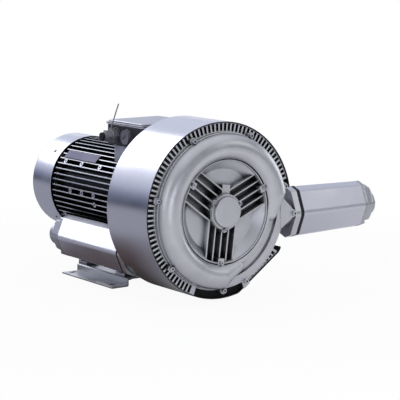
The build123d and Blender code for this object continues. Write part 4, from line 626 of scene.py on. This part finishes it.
# %% Shroud ring on the cooling fan
FAN_EYE, FAN_RIM = 0.066, 0.1285
FAN_BACK = 0.2997 - FRONT_EDGE  # depth of the blades' back edges
SHROUD = 0.0018
ring_angles = np.linspace(0, 2 * pi, 96, endpoint=False)
fan_grid = flat_ring(FAN_EYE, FAN_RIM, FAN_BACK, FAN_BACK + SHROUD, ring_angles)
fan_ring = surface("cooling_fan_shroud", fan_grid, loop_rows=True, loop_columns=True)
fan_ring.data.shade_flat()
dress(fan_ring, black_polyamide)
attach(fan_ring, BODY_OF["cooling_fan"])
print("shroud ring faces:", len(fan_ring.data.polygons))

# %% [markdown]
# The lid's rim has a rolled bead along its upper and its lower edge, pale with wear and painted highlight.
# Each is a thin tube round a rectangle with rounded corners: seven steps turn each corner, and the
# straight sides join one corner's last step to the next one's first.

# %% Beads round the lid's rim
LID_LEFT, LID_RIGHT = -0.099, 0.093
LID_NEAR, LID_FAR = -0.235, -0.037
LID_CORNER = 0.009
LID_BEAD = 0.0009
LID_INSET = 0.0003  # how deep the bead sits in the rim
LID_LEVELS = (0.4748, 0.4796)
CORNER_STEPS = 7
corner_x = np.where([True, False, False, True], LID_RIGHT - LID_CORNER, LID_LEFT + LID_CORNER)
corner_y = np.where([True, True, False, False], LID_FAR - LID_CORNER, LID_NEAR + LID_CORNER)


def lid_bead_grid(level):
    """x = corner + (corner radius + r cos b) cos a, y alike with sin a, z = level + r sin b."""
    a = (np.arange(4)[:, None] * pi / 2 + np.linspace(0, pi / 2, CORNER_STEPS)).reshape(-1, 1)
    b = np.linspace(0, 2 * pi, 8, endpoint=False)[None, :]
    out = LID_CORNER - LID_INSET + LID_BEAD * np.cos(b)
    x = np.repeat(corner_x, CORNER_STEPS)[:, None] + np.cos(a) * out
    y = np.repeat(corner_y, CORNER_STEPS)[:, None] + np.sin(a) * out
    return np.stack([x, y, np.broadcast_to(level + LID_BEAD * np.sin(b), x.shape)], axis=-1)


# Rubbed silver paint with a painted highlight: two pale lines that make the lid look layered.
lid_bead_highlight = metal("rubbed_lid_bead_highlight", "#f0f1f6", 0.30, 7 * MM, metallic=0.6, mottle=0.01, bump=0.02)
for number, level in enumerate(LID_LEVELS, start=1):
    lid_bead = surface("lid_rim_bead_%d" % number, lid_bead_grid(level), loop_rows=True, loop_columns=True)
    dress(lid_bead, lid_bead_highlight)
    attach(lid_bead, BODY_OF["terminal_lid"])
    print("lid bead faces:", len(lid_bead.data.polygons))

# %% [markdown]
# The blower stands on a pale floor that runs past the picture on every side. One surface has three
# jobs here, and the Light Path node tells them apart: it says whether a ray comes from the camera,
# from a mirroring surface, or from plain scattered light.

# %% Floor
FLOOR_HALF = 60.0
FLOOR_LEVEL = -0.0002  # a hair under the rails, so that no two faces share a plane
FLOOR_LINES = 9
floor_line = np.linspace(-FLOOR_HALF, FLOOR_HALF, FLOOR_LINES)
floor_x, floor_y = np.meshgrid(floor_line, floor_line)
floor = surface("studio_floor", np.stack([floor_x, floor_y, np.full_like(floor_x, FLOOR_LEVEL)], axis=-1))
floor_paint, tree = new_material("white_floor_paint")
path = add(tree, "ShaderNodeLightPath")
spot = add(tree, "ShaderNodeTexCoord").outputs["Object"]
away = add(tree, "ShaderNodeVectorMath", {0: spot}, operation="LENGTH").outputs["Value"]
print("floor's way up:", floor.data.polygons[0].normal.z)

# %% [markdown]
# To the camera the floor is white paint, most of it shown at its own colour so that it stays white
# far away where no lamp reaches, while the rest takes the blower's shadow. The shadow's share fades
# out between 0.7 and 1.8 m.

# %% The floor as the camera sees it
seen_share = add(tree, "ShaderNodeMapRange", {
    "Value": away, "From Min": 0.7, "From Max": 1.8, "To Min": 0.94, "To Max": 1.0}).outputs["Result"]
camera_share = add(tree, "ShaderNodeMath", {0: path.outputs["Is Camera Ray"], 1: seen_share},
                   operation="MULTIPLY").outputs[0]
print("floor nodes so far:", len(tree.nodes))

# %% [markdown]
# Bare metal mirrors the floor, so for mirrored rays the floor glows in a painted pattern that sets
# the painted reflections on the drum's lower half and the cast bulge: dark brown under the blower,
# a painted shadow, dim far off and on the left, brighter to the right, and brightest half a metre
# before the front. One ramp goes over the distance from the middle, one over the place from left to
# right and one over the place from back to front. The larger of the last two counts.

# %% The floor as metal mirrors it: a painted glow
tenth = add(tree, "ShaderNodeMath", {0: away, 1: 0.1}, operation="MULTIPLY").outputs[0]
# Painted shadow in what metal mirrors: dark brown under the blower, dim far off.
mirrored_shade_by_distance = add(tree, "ShaderNodeValToRGB", {"Fac": tenth}, stops=[
    (0.028, (0.20, 0.10, 0.08, 1)), (0.050, grey(1)), (0.25, grey(1)), (0.65, grey(0.12))]).outputs["Color"]
place = add(tree, "ShaderNodeSeparateXYZ", {"Vector": spot})
right_side = add(tree, "ShaderNodeMapRange", {
    "Value": place.outputs["X"], "From Min": 0.1, "From Max": 0.7,
    "To Min": 0.24, "To Max": 0.60}).outputs["Result"]
forward = add(tree, "ShaderNodeMapRange", {
    "Value": place.outputs["Y"], "From Min": -0.35, "From Max": -1.35}).outputs["Result"]
front_side = add(tree, "ShaderNodeValToRGB", {"Fac": forward}, stops=[
    (0.0, grey(0.24)), (0.25, grey(0.51)), (0.40, grey(0.54)), (0.60, grey(0.80)),
    (0.90, grey(0.55))]).outputs["Color"]
bright_side = add(tree, "ShaderNodeMath", {0: right_side, 1: front_side}, operation="MAXIMUM").outputs[0]
mirror_glow = add(tree, "ShaderNodeMath", {0: mirrored_shade_by_distance, 1: bright_side}, operation="MULTIPLY").outputs[0]
mirrored = add(tree, "ShaderNodeMath", {
    0: path.outputs["Is Glossy Ray"], 1: path.outputs["Is Transmission Ray"]},
    operation="ADD", use_clamp=True).outputs[0]
mirror_share = add(tree, "ShaderNodeMath", {0: mirrored, 1: mirror_glow}, operation="MULTIPLY").outputs[0]
print("floor nodes so far:", len(tree.nodes))

# %% [markdown]
# What the floor throws back as plain light is the grey of a studio's boards, with painted shade in
# it: brown close under the blower, so undersides stay darker than tops, and dark far off. The
# glowing share and the matt boards are then mixed into one floor.

# %% The floor as it lights the blower
# Painted shade in the boards: brown under the blower, dark far off.
board_tone_and_shade = add(tree, "ShaderNodeValToRGB", {"Fac": tenth}, stops=[
    (0.026, card("#5a423a")), (0.048, card("#87889a")), (0.30, card("#87889a")),
    (0.65, card("#3a3d50"))]).outputs["Color"]
boards = add(tree, "ShaderNodeMix", {
    "Factor": path.outputs["Is Camera Ray"], "A": board_tone_and_shade, "B": card("#f6f5f4")}, data_type="RGBA")
matt = add(tree, "ShaderNodeBsdfDiffuse", {"Color": boards.outputs["Result"]})
own = add(tree, "ShaderNodeEmission", {"Color": grey(1), "Strength": 1.0})
share = add(tree, "ShaderNodeMath", {0: camera_share, 1: mirror_share}, operation="ADD")
both = add(tree, "ShaderNodeMixShader", {0: share.outputs[0], 1: matt.outputs[0], 2: own.outputs[0]})
add(tree, "ShaderNodeOutputMaterial", {"Surface": both.outputs[0]})
dress(floor, floor_paint)
print("floor nodes:", len(tree.nodes))

# %% [markdown]
# Bare metal is lit by what it mirrors, so the room matters as much as the lamps. Behind the blower
# stands a pale blue-grey wall, dark at the horizon and brightest from 20 to 35 degrees up. Behind
# the camera the studio is a neutral grey, dimmest from 19 to 29 degrees up, with a light ceiling.
# Each is a ramp over the height of the direction, and they blend as the direction swings to the
# back.

# %% Room
# share of the way from straight down to straight up, and the colour there
BACK_WALL = [(0.50, "#545a6e"), (0.561, "#8f95ab"), (0.604, "#ced3e6"), (0.671, "#e2e7f6"),
             (0.787, "#e2e7f6"), (0.860, "#b4b8c4"), (1.0, "#c6c9d2")]
FRONT_WALL = [(0.50, "#aaacb2"), (0.60, "#989aa2"), (0.66, "#84868c"), (0.74, "#84868c"),
              (0.84, "#c8cad0"), (1.0, "#e0e2e8")]
world = bpy.data.worlds.new("studio_room")
bpy.context.scene.world = world
world.use_nodes = True
tree = world.node_tree
tree.nodes.clear()
way = add(tree, "ShaderNodeSeparateXYZ", {"Vector": add(tree, "ShaderNodeTexCoord").outputs["Generated"]})
level = add(tree, "ShaderNodeMapRange", {
    "Value": way.outputs["Z"], "From Min": -1.0, "From Max": 1.0}).outputs["Result"]
back_wall, front_wall = (
    add(tree, "ShaderNodeValToRGB", {"Fac": level}, stops=[(at, card(code)) for at, code in wall])
    for wall in (BACK_WALL, FRONT_WALL))
behind = add(tree, "ShaderNodeMapRange", {"Value": way.outputs["Y"], "From Min": 0.0, "From Max": 0.6})
room = add(tree, "ShaderNodeMix", {
    "Factor": behind.outputs["Result"], "A": front_wall.outputs["Color"],
    "B": back_wall.outputs["Color"]}, data_type="RGBA")
glow = add(tree, "ShaderNodeBackground", {"Color": room.outputs["Result"], "Strength": 1.0})
add(tree, "ShaderNodeOutputWorld", {"Surface": glow.outputs["Background"]})
print("room nodes:", len(tree.nodes))

# %% [markdown]
# The lamps are wide soft panels, as in a product studio. Each is set by what it draws on the metal,
# and its watts follow from how bright its face should look. None shows to the camera.

# %% One recipe for the panel lamps
AIM = Vector((0.0, -0.30, 0.30))


def panel(name, towards, distance, width, tall, radiance, colour="#ffffff", aim=AIM):
    """A soft panel lamp facing the aim; its watts are radiance x area x pi."""
    lamp = bpy.data.lights.new(name, "AREA")
    lamp.shape = "RECTANGLE"
    lamp.size, lamp.size_y = width, tall
    lamp.energy = radiance * width * tall * pi
    lamp.color = card(colour)[:3]
    holder = bpy.data.objects.new(name, lamp)
    stand = aim + Vector(towards).normalized() * distance
    holder.location = stand
    holder.rotation_euler = (aim - stand).to_track_quat("-Z", "Y").to_euler()
    holder.visible_camera = False
    bpy.context.scene.collection.objects.link(holder)
    return holder


# %% [markdown]
# Seven panels are enough: three behind and beside the blower draw its long highlights, one does the
# same for the near silencer alone, and three at the front and the left fill the shades.

# %% Lamps
# Broad highlight along the top of the drum, the motor and the cowl.
panel("back_panel", (-0.15, 0.83, 0.50), 3.6, 2.0, 1.8, 1.7)
# Low light from behind on the right, for edges that lean away from the camera.
panel("right_back_panel", (0.50, 0.86, 0.09), 4.0, 1.6, 1.1, 0.6)
# Cool light on the cover's front, low, so that the ribs throw no shade downwards.
panel("front_left_panel", (-0.36, -0.93, 0.03), 4.2, 2.0, 1.5, 1.5, "#f2f6ff")
# Fill from the other side of the camera, from above.
panel("front_right_panel", (0.65, -0.65, 0.41), 4.0, 1.8, 1.2, 0.8)
# Small near panel that the left silencer's face mirrors.
silencer_lamp = panel("silencer_panel", (-0.478, 0.845, 0.2385), 0.8, 0.36, 0.26, 2.2,
                      aim=Vector((-0.20, -0.02, 0.15)))
# Light from the right, on the right silencer and on all that faces it.
panel("right_panel", (0.97, 0.02, 0.10), 4.0, 2.4, 1.6, 1.2)
# Soft light on the motor's fins and the box from the left.
panel("left_panel", (-0.90, -0.30, 0.30), 3.6, 1.6, 2.0, 0.8)
print("lamps:", len(bpy.data.lights))

# %% [markdown]
# The silencer's lamp stands so near that it would flood the cowl and the box too. In a studio a
# black flag would shade those. Here light linking does it: the lamp's receivers are one collection
# with only that shell in it.

# %% Flag on the silencer's lamp
flagged = bpy.data.collections.new("lit_by_silencer_panel")
flagged.objects.link(skins["left_silencer_shell"])
silencer_lamp.light_linking.receiver_collection = flagged

# %% [markdown]
# The camera stands left of the ribbed front, slightly above the shaft, far off with a long lens.
# Its place was worked out from the vanishing lines of the silencers and the ovals of the drum.

# %% Camera
PICTURE_WIDTH = 400  # pixels
FOCAL_PIXELS = 1560
SENSOR = 36.0  # mm
CAMERA_PLACE = Vector((-2.5607, -3.9286, 0.9596))
CAMERA_AIM = Vector((0.0, -0.378, 0.278))
lens = bpy.data.cameras.new("product_camera")
lens.sensor_width = SENSOR
lens.lens = FOCAL_PIXELS / PICTURE_WIDTH * SENSOR
lens.clip_start, lens.clip_end = 0.1, 200.0
camera = bpy.data.objects.new("product_camera", lens)
camera.location = CAMERA_PLACE
camera.rotation_euler = (CAMERA_AIM - CAMERA_PLACE).to_track_quat("-Z", "Y").to_euler()
bpy.context.scene.collection.objects.link(camera)
bpy.context.scene.camera = camera
bpy.context.scene.view_settings.view_transform = "Standard"
print("lens in mm:", lens.lens)
